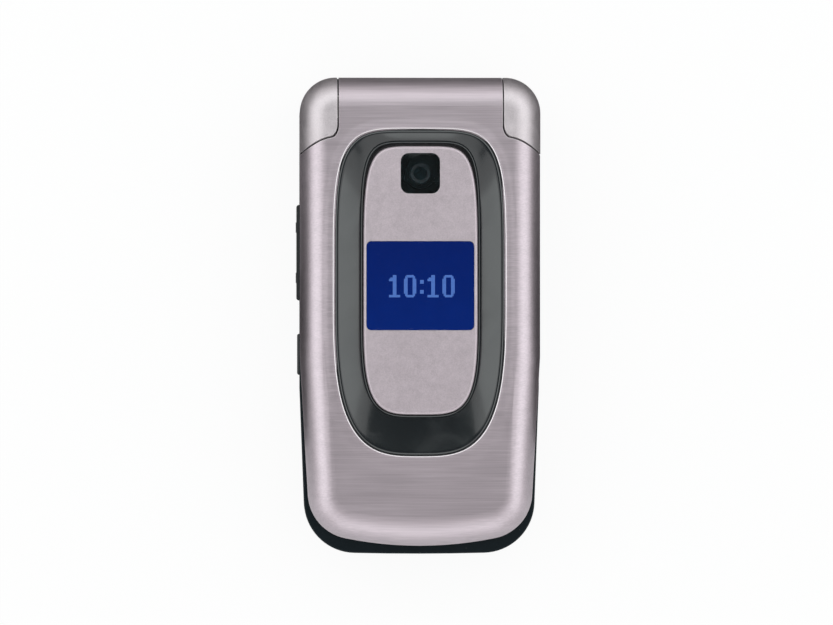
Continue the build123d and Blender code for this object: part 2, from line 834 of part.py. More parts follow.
with BuildPart() as vibra_weight:
    # the shaft runs in the motor and carries a half-round weight
    with BuildSketch(vibra_plane.offset(-vibra_length / 2 - vibra_weight_gap - vibra_weight_length)):
        Circle(vibra_shaft_radius)
    extrude(amount=vibra_weight_length + vibra_weight_gap + vibra_length - 1.1)
    with BuildSketch(vibra_plane.offset(-vibra_length / 2 - vibra_weight_gap - vibra_weight_length)):
        Circle(vibra_weight_radius)
        with Locations((0, vibra_weight_radius / 2 + 0.5)):
            Rectangle(2 * vibra_weight_radius, vibra_weight_radius, mode=Mode.SUBTRACT)
    extrude(amount=vibra_weight_length)
vibra_weight.part.label = "vibra_weight"

# ================================================= LID: SCREWS AND BUMPERS
with BuildPart() as lid_screws:
    with BuildSketch(Plane.XY.offset(lid_screw_head_z)):
        with Locations(*lid_screw_places):
            Circle(screw_head_radius)
    extrude(amount=lid_screw_head_top_z - lid_screw_head_z)
    with BuildSketch(Plane.XY.offset(lid_screw_head_top_z)):
        with Locations(*lid_screw_places):
            Circle(screw_shank_radius)
    extrude(amount=lid_screw_length)
lid_screws.part.label = "lid_screws"

with BuildPart() as bumpers:
    with BuildSketch(Plane.XY.offset(bumper_under_z)):
        with Locations(*lid_screw_places):
            Circle(bumper_radius)
    extrude(amount=lid_screw_head_z - bumper_under_z)
    fillet(bumpers.faces().group_by(Axis.Z)[0].edges(), radius=0.2)
bumpers.part.label = "bumpers"

# ==================================================== HINGE: CAN, CAM, SPRING
with BuildPart() as hinge_can:
    with BuildSketch(hinge_plane.offset(can_start_x)):
        Circle(can_radius)
    extrude(amount=can_end_x - can_start_x)
    with BuildSketch(hinge_plane.offset(can_start_x)):
        Circle(can_radius - can_wall)
    extrude(amount=can_end_x - can_wall - can_start_x, mode=Mode.SUBTRACT)
    with BuildSketch(hinge_plane.offset(can_start_x)):
        Circle(shaft_pin_radius + cam_gap)
    extrude(amount=can_end_x - can_start_x, mode=Mode.SUBTRACT)
hinge_can.part.label = "hinge_can"

with BuildPart() as hinge_shaft:
    # square-shouldered head, held by the left shoulder
    with BuildSketch(hinge_plane.offset(shaft_head_end_x)):
        RectangleRounded(shaft_head_width, shaft_head_height, 0.4)
    extrude(amount=-barrel_half_length - shaft_head_end_x)
    with BuildSketch(hinge_plane.offset(-barrel_half_length)):
        Circle(shaft_journal_radius)
    extrude(amount=shaft_cam_x + barrel_half_length)
    with BuildSketch(hinge_plane.offset(shaft_cam_x)):
        Circle(shaft_pin_radius)
    extrude(amount=shaft_pin_end_x - shaft_cam_x)
    # V notch across the cam face
    notch_plane = Plane(origin=(shaft_cam_x, hinge_y, hinge_z), x_dir=(1, 0, 0), z_dir=(0, 0, 1))
    with BuildSketch(notch_plane):
        with BuildLine():
            Polyline((0, -1.1), (-cam_notch_depth, 0), (0, 1.1), close=True)
        make_face()
    extrude(amount=barrel_radius, both=True, mode=Mode.SUBTRACT)
    with BuildSketch(hinge_plane.offset(shaft_cam_x - cam_notch_depth)):
        Circle(shaft_pin_radius)
    extrude(amount=cam_notch_depth)
hinge_shaft.part.label = "hinge_shaft"

follower_front_x = shaft_cam_x + cam_ridge_height + cam_gap
with BuildPart() as hinge_follower:
    with BuildSketch(hinge_plane.offset(follower_front_x)):
        Circle(can_radius - can_wall)
    extrude(amount=follower_back_x - follower_front_x)
    # V ridge that drops into the notch when the lid snaps home
    ridge_plane = Plane(origin=(follower_front_x, hinge_y, hinge_z), x_dir=(1, 0, 0), z_dir=(0, 0, 1))
    with BuildSketch(ridge_plane):
        with BuildLine():
            Polyline((0, -1), (-cam_ridge_height, 0), (0, 1), close=True)
        make_face()
    extrude(amount=shaft_journal_radius - 0.3, both=True)
    with BuildSketch(hinge_plane.offset(follower_front_x - cam_ridge_height)):
        Circle(shaft_pin_radius + cam_gap)
    extrude(amount=follower_back_x - follower_front_x + cam_ridge_height, mode=Mode.SUBTRACT)
hinge_follower.part.label = "hinge_follower"

spring_start_x = follower_back_x + spring_end_gap + spring_wire_radius
spring_end_x = can_end_x - can_wall - spring_end_gap - spring_wire_radius
spring_length = spring_end_x - spring_start_x
with BuildPart() as hinge_spring:
    with BuildLine() as spring_path:
        Helix(
            pitch=spring_length / spring_turns,
            height=spring_length,
            radius=spring_radius,
            center=(spring_start_x, hinge_y, hinge_z),
            direction=(1, 0, 0),
        )
    with BuildSketch(spring_path.line ^ 0):
        Circle(spring_wire_radius)
    sweep(path=spring_path.line, is_frenet=True)
hinge_spring.part.label = "hinge_spring"

# ===================================================== HINGE: COILED FLEX CABLE
with BuildPart() as flex_cable:
    # one and a half turns inside the barrel, then a tail into the lid
    with BuildSketch(hinge_plane.offset(flex_start_x)):
        with BuildLine() as coil:
            ThreePointArc(
                (0, -flex_inner_drop),
                (-(flex_inner_rise + flex_inner_drop) / 2, (flex_inner_rise - flex_inner_drop) / 2),
                (0, flex_inner_rise),
            )
            ThreePointArc(
                (0, flex_inner_rise),
                ((flex_inner_rise + flex_outer_drop) / 2, (flex_inner_rise - flex_outer_drop) / 2),
                (0, -flex_outer_drop),
            )
            Line((0, -flex_outer_drop), (flex_tail_end_y - hinge_y, -flex_outer_drop))
        trace(coil.edges(), line_width=flex_thickness)
    extrude(amount=flex_width)
    # strip that leaves through the hollow pivot and turns down to the main board
    strip_z = hinge_z - flex_inner_drop - flex_thickness / 2
    strip_length = flex_strip_x - flex_start_x
    with Locations((flex_start_x + strip_length / 2, hinge_y, strip_z + flex_thickness / 2)):
        Box(strip_length, flex_strip_width, flex_thickness)
    foot_z = board_under_z + board_thickness
    drop_height = strip_z + flex_thickness - foot_z
    with Locations((flex_strip_x - flex_thickness / 2, hinge_y, foot_z + drop_height / 2)):
        Box(flex_thickness, flex_strip_width, drop_height)
    foot_length = flex_strip_x - flex_foot_x
    with Locations((flex_foot_x + foot_length / 2, hinge_y, foot_z + flex_thickness / 2)):
        Box(foot_length, flex_strip_width, flex_thickness)
flex_cable.part.label = "flex_cable"


# ============================================================== BASE: SHOULDERS
def shoulder_shell(side):
    """Hollow corner block beside the barrel, with an open foot."""
    zone = seam_zone(side, trough_half_length, 0.0)
    near_x = side * (trough_half_length + shoulder_wall)
    far_x = side * shoulder_hollow_end_x
    with BuildPart() as shell:
        with BuildSketch(Plane.XY.offset(base_top_z)):
            body_outline()
        extrude(amount=lid_top_z - base_top_z)
        fillet(shell.faces().sort_by(Axis.Z)[-1].edges(), radius=lid_edge_radius)
        add(zone, mode=Mode.INTERSECT)
        with BuildSketch(hinge_plane.offset(near_x)):
            Circle(shoulder_hollow_radius)
            with Locations((0, (base_top_z - hinge_z) / 2)):
                Rectangle(2 * shoulder_hollow_radius, hinge_z - base_top_z)
        extrude(amount=far_x - near_x, mode=Mode.SUBTRACT)
    return shell.part


left_shell = shoulder_shell(-1)
right_shell = shoulder_shell(1)

with BuildPart() as shoulder_left:
    add(left_shell)
    # socket that keeps the hinge shaft from turning
    with BuildSketch(hinge_plane.offset(shaft_head_end_x)):
        RectangleRounded(shaft_head_width, shaft_head_height, 0.4)
    extrude(amount=-trough_half_length - shaft_head_end_x, mode=Mode.SUBTRACT)
shoulder_left.part.label = "shoulder_left"

with BuildPart() as shoulder_right:
    add(right_shell)
    # hollow pivot that carries the right end of the barrel
    with BuildSketch(hinge_plane.offset(pivot_end_x)):
        Circle(pivot_radius)
    extrude(amount=trough_half_length + shoulder_wall - pivot_end_x)
    with BuildSketch(hinge_plane.offset(pivot_end_x)):
        Circle(pivot_bore_radius)
    extrude(amount=trough_half_length + shoulder_wall - pivot_end_x, mode=Mode.SUBTRACT)
shoulder_right.part.label = "shoulder_right"

# ============================================================ BASE: FRONT COVER
number_names = (("1", "2", "3"), ("4", "5", "6"), ("7", "8", "9"), ("star", "0", "hash"))
number_places = []
for row, row_names in enumerate(number_names):
    for column, name in enumerate(row_names):
        place = ((column - 1) * number_column_pitch, number_first_row_y - row * number_row_pitch)
        number_places.append((f"key_{name}", place))
function_places = [
    ("soft_key_left", (-side_function_x, soft_key_y)),
    ("soft_key_right", (side_function_x, soft_key_y)),
    ("call_key", (-side_function_x, call_key_y)),
    ("end_key", (side_function_x, call_key_y)),
]
number_centres = [place for name, place in number_places]
function_centres = [place for name, place in function_places]
ring_nub_centres = [
    (0, ring_key_y + pusher_nub_offset),
    (0, ring_key_y - pusher_nub_offset),
    (pusher_nub_offset, ring_key_y),
    (-pusher_nub_offset, ring_key_y),
]
hinge_screws = mirrored(base_screw_hinge_x, base_screw_hinge_y)
chin_screws = mirrored(base_screw_chin_x, base_screw_chin_y)
base_screw_places = hinge_screws + chin_screws
under_plate = body_form(wall, rear_top_z, plate_under_z)

with BuildPart() as base_front_cover:
    with BuildSketch(Plane.XY.offset(rear_top_z)):
        body_outline()
    extrude(amount=base_top_z - rear_top_z)
    fillet(base_front_cover.faces().sort_by(Axis.Z)[-1].edges(), radius=0.3)
    add(under_plate, mode=Mode.SUBTRACT)
    # trough that the barrel lies in
    with BuildSketch(hinge_plane.offset(-trough_half_length)):
        Circle(trough_radius)
    extrude(amount=2 * trough_half_length, mode=Mode.SUBTRACT)
    # shallow floor of the keypad
    recess_length = keypad_recess_top_y - keypad_recess_bottom_y
    with BuildSketch(Plane.XY.offset(keypad_floor_z)):
        with Locations((0, keypad_recess_top_y - recess_length / 2)):
            RectangleRounded(keypad_recess_width, recess_length, keypad_recess_corner)
    extrude(amount=base_top_z - keypad_floor_z, mode=Mode.SUBTRACT)
    # one hole for each key
    with BuildSketch(Plane.XY.offset(plate_under_z)):
        with Locations(*number_centres):
            RectangleRounded(
                number_key_width + 2 * key_gap,
                number_key_height + 2 * key_gap,
                number_key_corner + key_gap,
            )
        with Locations(*function_centres):
            RectangleRounded(
                function_key_width + 2 * key_gap,
                function_key_height + 2 * key_gap,
                function_key_corner + key_gap,
            )
        with Locations((0, ring_key_y)):
            Circle(ring_key_radius + ring_key_gap)
    extrude(amount=base_top_z - plate_under_z, mode=Mode.SUBTRACT)
    # way through for the flex under the right shoulder
    with Locations((flex_strip_x - 0.5, hinge_y, (rear_top_z + base_top_z) / 2)):
        Box(2.4, flex_strip_width + 1.2, base_top_z - rear_top_z + 1, mode=Mode.SUBTRACT)
    # screw bosses that hang down into the rear housing
    with BuildSketch(Plane.XY.offset(base_boss_under_z)):
        with Locations(*base_screw_places):
            Circle(base_boss_radius)
    extrude(amount=plate_under_z - base_boss_under_z)
    with BuildSketch(Plane.XY.offset(base_boss_under_z)):
        with Locations(*base_screw_places):
            Circle(screw_shank_radius)
    extrude(amount=base_screw_end_z - base_boss_under_z, mode=Mode.SUBTRACT)
base_front_cover.part.label = "base_front_cover"

# =========================================================== BASE: REAR HOUSING
bay_middle_y = (bay_start_y + bay_end_y) / 2
bay_length = bay_end_y - bay_start_y
bay_width = battery_width + 2 * bay_clearance
tub_top_z = bay_top_z + bay_floor_thickness
channel_top_z = cover_thickness + cover_gap
step_y = cover_end_y + bay_wall

with BuildPart() as outer_base_form:
    with BuildSketch(Plane.XY):
        body_outline()
    extrude(amount=rear_top_z)
    fillet(outer_base_form.faces().sort_by(Axis.Z)[0].edges(), radius=back_edge_radius)

# the deep part of the housing, beyond the battery, follows the rounded back edge
with BuildPart() as deep_cavity:
    with BuildSketch(Plane.XY.offset(back_wall)):
        body_outline(wall)
    extrude(amount=rear_top_z - back_wall)
    fillet(deep_cavity.faces().sort_by(Axis.Z)[0].edges(), radius=back_edge_radius - wall)
    split(bisect_by=Plane.XZ.offset(-step_y), keep=Keep.BOTTOM)

shallow_cavity = body_form(wall, tray_floor_z, rear_top_z)

with BuildPart() as base_rear_housing:
    add(outer_base_form.part)
    add(deep_cavity.part, mode=Mode.SUBTRACT)
    add(shallow_cavity, mode=Mode.SUBTRACT)
    # raised tub around the battery, with windows for the contacts and the card
    with BuildSketch(Plane.XY.offset(back_wall)):
        with Locations((0, bay_middle_y)):
            Rectangle(bay_width + 2 * bay_wall, bay_length + 2 * bay_wall)
    extrude(amount=tub_top_z - back_wall)
    with BuildSketch(Plane.XY):
        with Locations((0, bay_middle_y)):
            RectangleRounded(bay_width, bay_length, battery_corner)
    extrude(amount=bay_top_z, mode=Mode.SUBTRACT)
    with BuildSketch(Plane.XY.offset(bay_top_z)):
        with Locations((0, sim_y)):
            Rectangle(sim_width + 2 * sim_gap, sim_length + 2 * sim_gap)
    extrude(amount=bay_floor_thickness, mode=Mode.SUBTRACT)
    contact_middle_z = contact_leaf_under_z + contact_leaf_height / 2
    with Locations((0, bay_end_y + bay_wall / 2, contact_middle_z)):
        Box(contact_opening_width, 2 * bay_wall, contact_opening_height, mode=Mode.SUBTRACT)
    # channel of the battery cover, with a groove along each side
    channel_end_y = cover_end_y + cover_gap
    channel_length = channel_end_y - body_chin_y + 1
    with BuildSketch(Plane.XY):
        with Locations((0, channel_end_y - channel_length / 2)):
            Rectangle(2 * (cover_half_width + cover_gap), channel_length)
    extrude(amount=channel_top_z, mode=Mode.SUBTRACT)
    groove_half = cover_rail_outer_x - cover_rail_inner_x + 2 * cover_gap
    rail_middle_x = (cover_rail_outer_x + cover_rail_inner_x) / 2
    with BuildSketch(Plane.XY.offset(cover_thickness)):
        with Locations(*mirrored(rail_middle_x, channel_end_y - 2 - channel_length / 2)):
            Rectangle(groove_half, channel_length)
    extrude(amount=cover_rail_height + cover_gap, mode=Mode.SUBTRACT)
    # sockets at the chin end
    chin_plane = Plane(origin=(0, body_chin_y - 1, 0), x_dir=(1, 0, 0), z_dir=(0, -1, 0))
    with BuildSketch(chin_plane):
        with Locations((jack_x, jack_z)):
            Circle(jack_opening_radius)
        with Locations((connector_x, board_under_z - connector_height / 2)):
            RectangleRounded(connector_mouth_width + 0.4, connector_mouth_height + 0.4, 0.5)
        with Locations((microphone_x, board_under_z - microphone_height / 2)):
            Circle(microphone_hole_radius)
    extrude(amount=-4, mode=Mode.SUBTRACT)
    # sound slots of the loudspeaker
    with BuildSketch(Plane.XY):
        with Locations((speaker_x, speaker_y)):
            with GridLocations(0, grille_slot_pitch, 1, grille_slot_count):
                SlotOverall(grille_slot_length, grille_slot_width)
    extrude(amount=back_wall, mode=Mode.SUBTRACT)
    # windows of the side keys
    window_height = side_key_height + 2 * side_key_gap
    for window_y, key_length in ((rocker_y, rocker_length), (side_button_y, side_button_length)):
        with Locations((-body_half_width, window_y, side_key_z)):
            Box(side_window_depth, key_length + 2 * side_key_gap, window_height, mode=Mode.SUBTRACT)
    # rib that the side key bracket stands on
    bracket_length = bracket_end_y - bracket_start_y
    bracket_middle_y = (bracket_end_y + bracket_start_y) / 2
    bracket_under_z = side_key_z - bracket_height / 2
    with Locations((bracket_face_x + bracket_thickness / 2, bracket_middle_y, (back_wall + bracket_under_z) / 2)):
        Box(2 * bracket_thickness, bracket_length, bracket_under_z - back_wall)
    # screw posts, then the recesses of the heads
    with BuildSketch(Plane.XY.offset(back_wall)):
        with Locations(*base_screw_places):
            Circle(base_post_radius)
    extrude(amount=base_boss_under_z - back_wall)
    with BuildSketch(Plane.XY):
        with Locations(*base_screw_places):
            Circle(screw_shank_radius)
    extrude(amount=base_boss_under_z, mode=Mode.SUBTRACT)
    with BuildSketch(Plane.XY):
        with Locations(*hinge_screws):
            Circle(screw_recess_radius)
    extrude(amount=hinge_screw_head_z + screw_head_height, mode=Mode.SUBTRACT)
    with BuildSketch(Plane.XY):
        with Locations(*chin_screws):
            Circle(screw_recess_radius)
    extrude(amount=chin_screw_head_z + screw_head_height, mode=Mode.SUBTRACT)
base_rear_housing.part.label = "base_rear_housing"

# ========================================================= BASE: BATTERY COVER
with BuildPart() as battery_cover:
    with BuildSketch(Plane.XY):
        with Locations((0, cover_end_y - channel_length / 2)):
            Rectangle(2 * cover_half_width, channel_length)
    extrude(amount=cover_thickness)
    rail_end_y = cover_end_y - 2.2
    with BuildSketch(Plane.XY.offset(cover_thickness)):
        with Locations(*mirrored(rail_middle_x, rail_end_y - channel_length / 2)):
            Rectangle(cover_rail_outer_x - cover_rail_inner_x, channel_length)
    extrude(amount=cover_rail_height)
    add(outer_base_form.part, mode=Mode.INTERSECT)
    # finger grip across the cover
    grip_plane = Plane(origin=(-cover_grip_length / 2, cover_grip_y, 0), x_dir=(0, 1, 0), z_dir=(1, 0, 0))
    with BuildSketch(grip_plane):
        with GridLocations(cover_grip_pitch, 0, cover_grip_count, 1):
            Circle(cover_grip_radius)
    extrude(amount=cover_grip_length, mode=Mode.SUBTRACT)
battery_cover.part.label = "battery_cover"

# =============================================================== BASE: BATTERY
with BuildPart() as battery:
    with BuildSketch(Plane.XY.offset(battery_under_z)):
        with Locations((0, battery_centre_y)):
            RectangleRounded(battery_width, battery_length, battery_corner)
    extrude(amount=battery_thickness)
battery.part.label = "battery"

with BuildPart() as battery_contacts:
    contact_start_y = bay_end_y + bay_wall
    contact_length = contact_end_y - contact_start_y
    with BuildSketch(Plane.XY.offset(tray_floor_z)):
        with Locations((0, contact_start_y + contact_length / 2)):
            Rectangle(contact_width, contact_length)
    extrude(amount=board_under_z - tray_floor_z)
    leaf_length = contact_start_y - contact_leaf_end_y
    with BuildSketch(Plane.XY.offset(contact_leaf_under_z)):
        with Locations((0, contact_leaf_end_y + leaf_length / 2)):
            with GridLocations(contact_leaf_pitch, 0, contact_leaf_count, 1):
                Rectangle(contact_leaf_width, leaf_length)
    extrude(amount=contact_leaf_height)
battery_contacts.part.label = "battery_contacts"

with BuildPart() as sim_holder:
    with BuildSketch(Plane.XY.offset(board_under_z - sim_thickness)):
        with Locations((0, sim_y)):
            Rectangle(sim_width, sim_length)
    extrude(amount=sim_thickness)
    # slot for the card, open toward the hinge end
    with Locations((0, sim_y + 1.5, board_under_z - sim_thickness / 2)):
        Box(sim_width - 3, sim_length - 2, sim_thickness - 0.5, mode=Mode.SUBTRACT)
sim_holder.part.label = "sim_holder"

# ============================================================ BASE: MAIN BOARD
with BuildPart() as main_board:
    with BuildSketch(Plane.XY.offset(board_under_z)):
        with Locations((0, (board_end_y + board_step_y) / 2)):
            RectangleRounded(2 * board_half_width, board_end_y - board_step_y, 2)
        with Locations((0, (board_start_y + board_step_y + 3) / 2)):
            RectangleRounded(2 * board_chin_half_width, board_step_y + 3 - board_start_y, 1)
        with Locations(*base_screw_places):
            Circle(base_boss_radius + 0.3, mode=Mode.SUBTRACT)
    extrude(amount=board_thickness)
    # the microphone is soldered under the chin end
    with BuildSketch(Plane.XY.offset(board_under_z - microphone_height)):
        with Locations((microphone_x, microphone_y)):
            Circle(microphone_radius)
    extrude(amount=microphone_height)
main_board.part.label = "main_board"

with BuildPart() as shield_cans:
    with BuildSketch(Plane.XY.offset(board_under_z - shield_height)):
        with Locations(*mirrored(shield_x, shield_y)):
            RectangleRounded(shield_width, shield_length, 0.8)
    extrude(amount=shield_height)
    with BuildSketch(Plane.XY.offset(board_under_z - shield_height + 0.3)):
        with Locations(*mirrored(shield_x, shield_y)):
            Rectangle(shield_width - 0.6, shield_length - 0.6)
    extrude(amount=shield_height - 0.3, mode=Mode.SUBTRACT)
shield_cans.part.label = "shield_cans"

# ================================================ BASE: SPEAKER AND ANTENNA
with BuildPart() as loudspeaker:
    with BuildSketch(Plane.XY.offset(back_wall)):
        with Locations((speaker_x, speaker_y)):
            Circle(speaker_radius)
    extrude(amount=speaker_thickness)
    with BuildSketch(Plane.XY.offset(back_wall)):
        with Locations((speaker_x, speaker_y)):
            Circle(speaker_radius - speaker_rim)
    extrude(amount=speaker_dish_depth, mode=Mode.SUBTRACT)
loudspeaker.part.label = "loudspeaker"

with BuildPart() as antenna_plate:
    with BuildSketch(Plane.XY.offset(back_wall)):
        with Locations((0, antenna_y)):
            RectangleRounded(antenna_width, antenna_length, 1)
    extrude(amount=antenna_carrier_height)
    with BuildSketch(Plane.XY.offset(back_wall)):
        with Locations((0, antenna_y)):
            Rectangle(antenna_width - 1.6, antenna_length - 1.6)
    extrude(amount=antenna_carrier_height - antenna_thickness, mode=Mode.SUBTRACT)
    # slot that folds the radiator, and two feet to the board
    with BuildSketch(Plane.XY.offset(back_wall)):
        with Locations((0, antenna_y)):
            SlotOverall(antenna_slot_length, antenna_slot_width)
    extrude(amount=antenna_carrier_height, mode=Mode.SUBTRACT)
    with BuildSketch(Plane.XY.offset(back_wall + antenna_carrier_height - antenna_thickness)):
        with Locations((-3, antenna_y - 1.6), (3, antenna_y - 1.6)):
            Rectangle(1.2, 1.2)
    extrude(amount=board_under_z - back_wall - antenna_carrier_height + antenna_thickness)
antenna_plate.part.label = "antenna_plate"

# ================================================== BASE: CHIN END CONNECTORS
with BuildPart() as charger_jack:
    with Locations((jack_x, body_chin_y + wall + 0.3 + jack_length / 2, board_under_z - jack_height / 2)):
        Box(jack_width, jack_length, jack_height)
    with BuildSketch(chin_plane.offset(-1 - wall - 0.3)):
        with Locations((jack_x, jack_z)):
            Circle(jack_bore_radius)
    extrude(amount=-jack_bore_depth, mode=Mode.SUBTRACT)
charger_jack.part.label = "charger_jack"

with BuildPart() as accessory_connector:
    connector_start_y = body_chin_y + wall + 0.2
    connector_middle_z = board_under_z - connector_height / 2
    with Locations((connector_x, connector_start_y + connector_length / 2, connector_middle_z)):
        Box(connector_width, connector_length, connector_height)
    with Locations((connector_x, connector_start_y + connector_mouth_depth / 2, connector_middle_z)):
        Box(connector_mouth_width, connector_mouth_depth, connector_mouth_height, mode=Mode.SUBTRACT)
    # tongue that carries the contacts
    with Locations((connector_x, connector_start_y + connector_mouth_depth / 2 + 0.5, connector_middle_z)):
        Box(connector_mouth_width - 2, connector_mouth_depth, connector_tongue_height)
accessory_connector.part.label = "accessory_connector"

# ================================================================ BASE: SCREWS
with BuildPart() as base_screws:
    for places, head_z in ((hinge_screws, hinge_screw_head_z), (chin_screws, chin_screw_head_z)):
        with BuildSketch(Plane.XY.offset(head_z)):
            with Locations(*places):
                Circle(screw_head_radius)
        extrude(amount=screw_head_height)
        with BuildSketch(Plane.XY.offset(head_z + screw_head_height)):
            with Locations(*places):
                Circle(screw_shank_radius)
        extrude(amount=base_screw_end_z - head_z - screw_head_height)
        with BuildSketch(Plane.XY.offset(head_z)):
            with Locations(*places):
                RegularPolygon(driver_recess_radius, 6)
        extrude(amount=driver_recess_depth, mode=Mode.SUBTRACT)
base_screws.part.label = "base_screws"

# ======================================================= KEYPAD: DOMES AND WEB
with BuildPart() as key_domes:
    dome_z = board_under_z + board_thickness
    with BuildSketch(Plane.XY.offset(dome_z)):
        with Locations((0, (web_start_y + web_end_y) / 2)):
            Rectangle(web_width - 1.5, web_end_y - web_start_y - 3)
    extrude(amount=dome_sheet_thickness)
    dome_middle_z = dome_z + dome_sheet_thickness + dome_height / 2
    dome_places = number_centres + function_centres + [(0, ring_key_y)]
    with Locations(*[(x, y, dome_middle_z) for x, y in dome_places]):
        Cone(dome_radius, dome_top_radius, dome_height)
    with Locations(*[(x, y, dome_middle_z) for x, y in ring_nub_centres]):
        Cone(ring_dome_radius, ring_dome_top_radius, dome_height)
key_domes.part.label = "key_domes"

with BuildPart() as keymat_web:
    with BuildSketch(Plane.XY.offset(web_under_z)):
        with Locations((0, (web_start_y + web_end_y) / 2)):
            RectangleRounded(web_width, web_end_y - web_start_y, 2)
        with Locations(*(number_centres + function_centres)):
            Circle(web_hole_radius, mode=Mode.SUBTRACT)
        with Locations((0, ring_key_y)):
            Circle(web_ring_hole_radius, mode=Mode.SUBTRACT)
    extrude(amount=web_thickness)
keymat_web.part.label = "keymat_web"


# ================================================================ KEYPAD: KEYS
def key_piece(name, place, width, height, corner):
    """Key cap with a retaining flange below and a nub that presses its dome."""
    with BuildPart() as key:
        with BuildSketch(Plane.XY.offset(key_flange_top_z)):
            with Locations(place):
                RectangleRounded(width, height, corner)
        extrude(amount=key_top_z - key_flange_top_z)
        fillet(key.faces().sort_by(Axis.Z)[-1].edges(), radius=key_edge_radius)
        with BuildSketch(Plane.XY.offset(key_flange_under_z)):
            with Locations(place):
                RectangleRounded(width + 2 * key_flange, height + 2 * key_flange, corner + key_flange)
        extrude(amount=key_flange_top_z - key_flange_under_z)
        with BuildSketch(Plane.XY.offset(key_nub_under_z)):
            with Locations(place):
                Circle(key_nub_radius)
        extrude(amount=key_flange_under_z - key_nub_under_z)
    key.part.label = name
    return key.part


number_keys = [
    key_piece(name, place, number_key_width, number_key_height, number_key_corner)
    for name, place in number_places
]
function_keys = [
    key_piece(name, place, function_key_width, function_key_height, function_key_corner)
    for name, place in function_places
]

with BuildPart() as select_key:
    with BuildSketch(Plane.XY.offset(select_key_under_z)):
        with Locations((0, ring_key_y)):
            Circle(select_key_radius)
    extrude(amount=select_key_top_z - select_key_under_z)
    fillet(select_key.faces().sort_by(Axis.Z)[-1].edges(), radius=key_edge_radius)
select_key.part.label = "select_key"

ring_axis = Axis((0, ring_key_y, 0), (0, 0, 1))
with BuildPart() as scroll_ring:
    with BuildSketch(Plane.XZ.offset(-ring_key_y)):
        ring_middle = (ring_key_hole_radius + ring_key_radius) / 2
        with BuildLine():
            Polyline(
                (ring_key_hole_radius, ring_key_top_z - key_edge_radius),
                (ring_key_hole_radius, ring_key_flange_under_z),
                (ring_key_flange_radius, ring_key_flange_under_z),
                (ring_key_flange_radius, ring_key_flange_top_z),
                (ring_key_radius, ring_key_flange_top_z),
                (ring_key_radius, ring_key_top_z - key_edge_radius),
                (ring_key_radius - key_edge_radius, ring_key_top_z),
            )
            # the finger runs in a shallow dish
            ThreePointArc(
                (ring_key_radius - key_edge_radius, ring_key_top_z),
                (ring_middle, ring_key_top_z - ring_key_dish_depth),
                (ring_key_hole_radius + key_edge_radius, ring_key_top_z),
            )
            Line(
                (ring_key_hole_radius + key_edge_radius, ring_key_top_z),
                (ring_key_hole_radius, ring_key_top_z - key_edge_radius),
            )
        make_face()
    revolve(axis=ring_axis)
scroll_ring.part.label = "scroll_ring"

with BuildPart() as scroll_pusher:
    with BuildSketch(Plane.XY.offset(pusher_under_z)):
        with Locations((0, ring_key_y)):
            Circle(pusher_radius)
            Circle(pusher_hole_radius, mode=Mode.SUBTRACT)
    extrude(amount=pusher_top_z - pusher_under_z)
    with BuildSketch(Plane.XY.offset(pusher_nub_under_z)):
        with Locations(*ring_nub_centres):
            Circle(pusher_nub_radius)
    extrude(amount=pusher_under_z - pusher_nub_under_z)
scroll_pusher.part.label = "scroll_pusher"

# ================================================================== SIDE KEYS
side_key_under_z = side_key_z - side_key_height / 2
with BuildPart() as volume_rocker:
    with BuildSketch(Plane.XY.offset(side_key_under_z)):
        with BuildLine():
            Polyline(
                (rocker_flange_x, rocker_y - rocker_length / 2),
                (rocker_reach_x, rocker_y - rocker_length / 2),
                (rocker_reach_x, rocker_y + rocker_length / 2),
                (rocker_flange_x, rocker_y + rocker_length / 2),
                close=True,
            )
        make_face()
        fillet(vertices().group_by(Axis.X)[0], radius=0.5)
    extrude(amount=side_key_height)
    # raised bar on each half of the rocker
    for offset_y in (-rocker_bump_offset, rocker_bump_offset):
        with Locations((rocker_reach_x, rocker_y + offset_y, side_key_z)):
            Box(2 * rocker_bump_reach, rocker_bump_length, side_key_height - 1.2)
    with Locations(((rocker_flange_x + rocker_flange_back_x) / 2, rocker_y, side_key_z)):
        Box(
            rocker_flange_back_x - rocker_flange_x,
            rocker_length + 2 * side_flange,
            side_key_height + 2 * side_flange,
        )
    # rib that the rocker tilts on
    with Locations(((rocker_flange_back_x + bracket_face_x) / 2, rocker_y, side_key_z)):
        Box(bracket_face_x - rocker_flange_back_x, 0.8, side_key_height)
volume_rocker.part.label = "volume_rocker"

with BuildPart() as side_key:
    with Locations(((side_button_reach_x + side_button_flange_x) / 2, side_button_y, side_key_z)):
        Box(side_button_flange_x - side_button_reach_x, side_button_length, side_key_height)
    outer_edges = side_key.faces().sort_by(Axis.X)[0].edges()
    fillet(outer_edges, radius=0.4)
    with Locations(((side_button_flange_x + side_button_back_x) / 2, side_button_y, side_key_z)):
        Box(
            side_button_back_x - side_button_flange_x,
            side_button_length + 2 * side_flange,
            side_key_height + 2 * side_flange,
        )
side_key.part.label = "side_key"

with BuildPart() as side_key_bracket:
    with Locations((bracket_face_x + bracket_thickness / 2, bracket_middle_y, side_key_z)):
        Box(bracket_thickness, bracket_length, bracket_height)
    # one dome under each half of the rocker and one under the side key
    bracket_face = Plane(origin=(bracket_face_x, 0, side_key_z), x_dir=(0, 1, 0), z_dir=(-1, 0, 0))
    for dome_y in (rocker_y - rocker_dome_offset, rocker_y + rocker_dome_offset, side_button_y):
        with Locations(bracket_face.offset(side_dome_height / 2) * Location((dome_y, 0, 0))):
            Cone(side_dome_radius, side_dome_top_radius, side_dome_height)
side_key_bracket.part.label = "side_key_bracket"

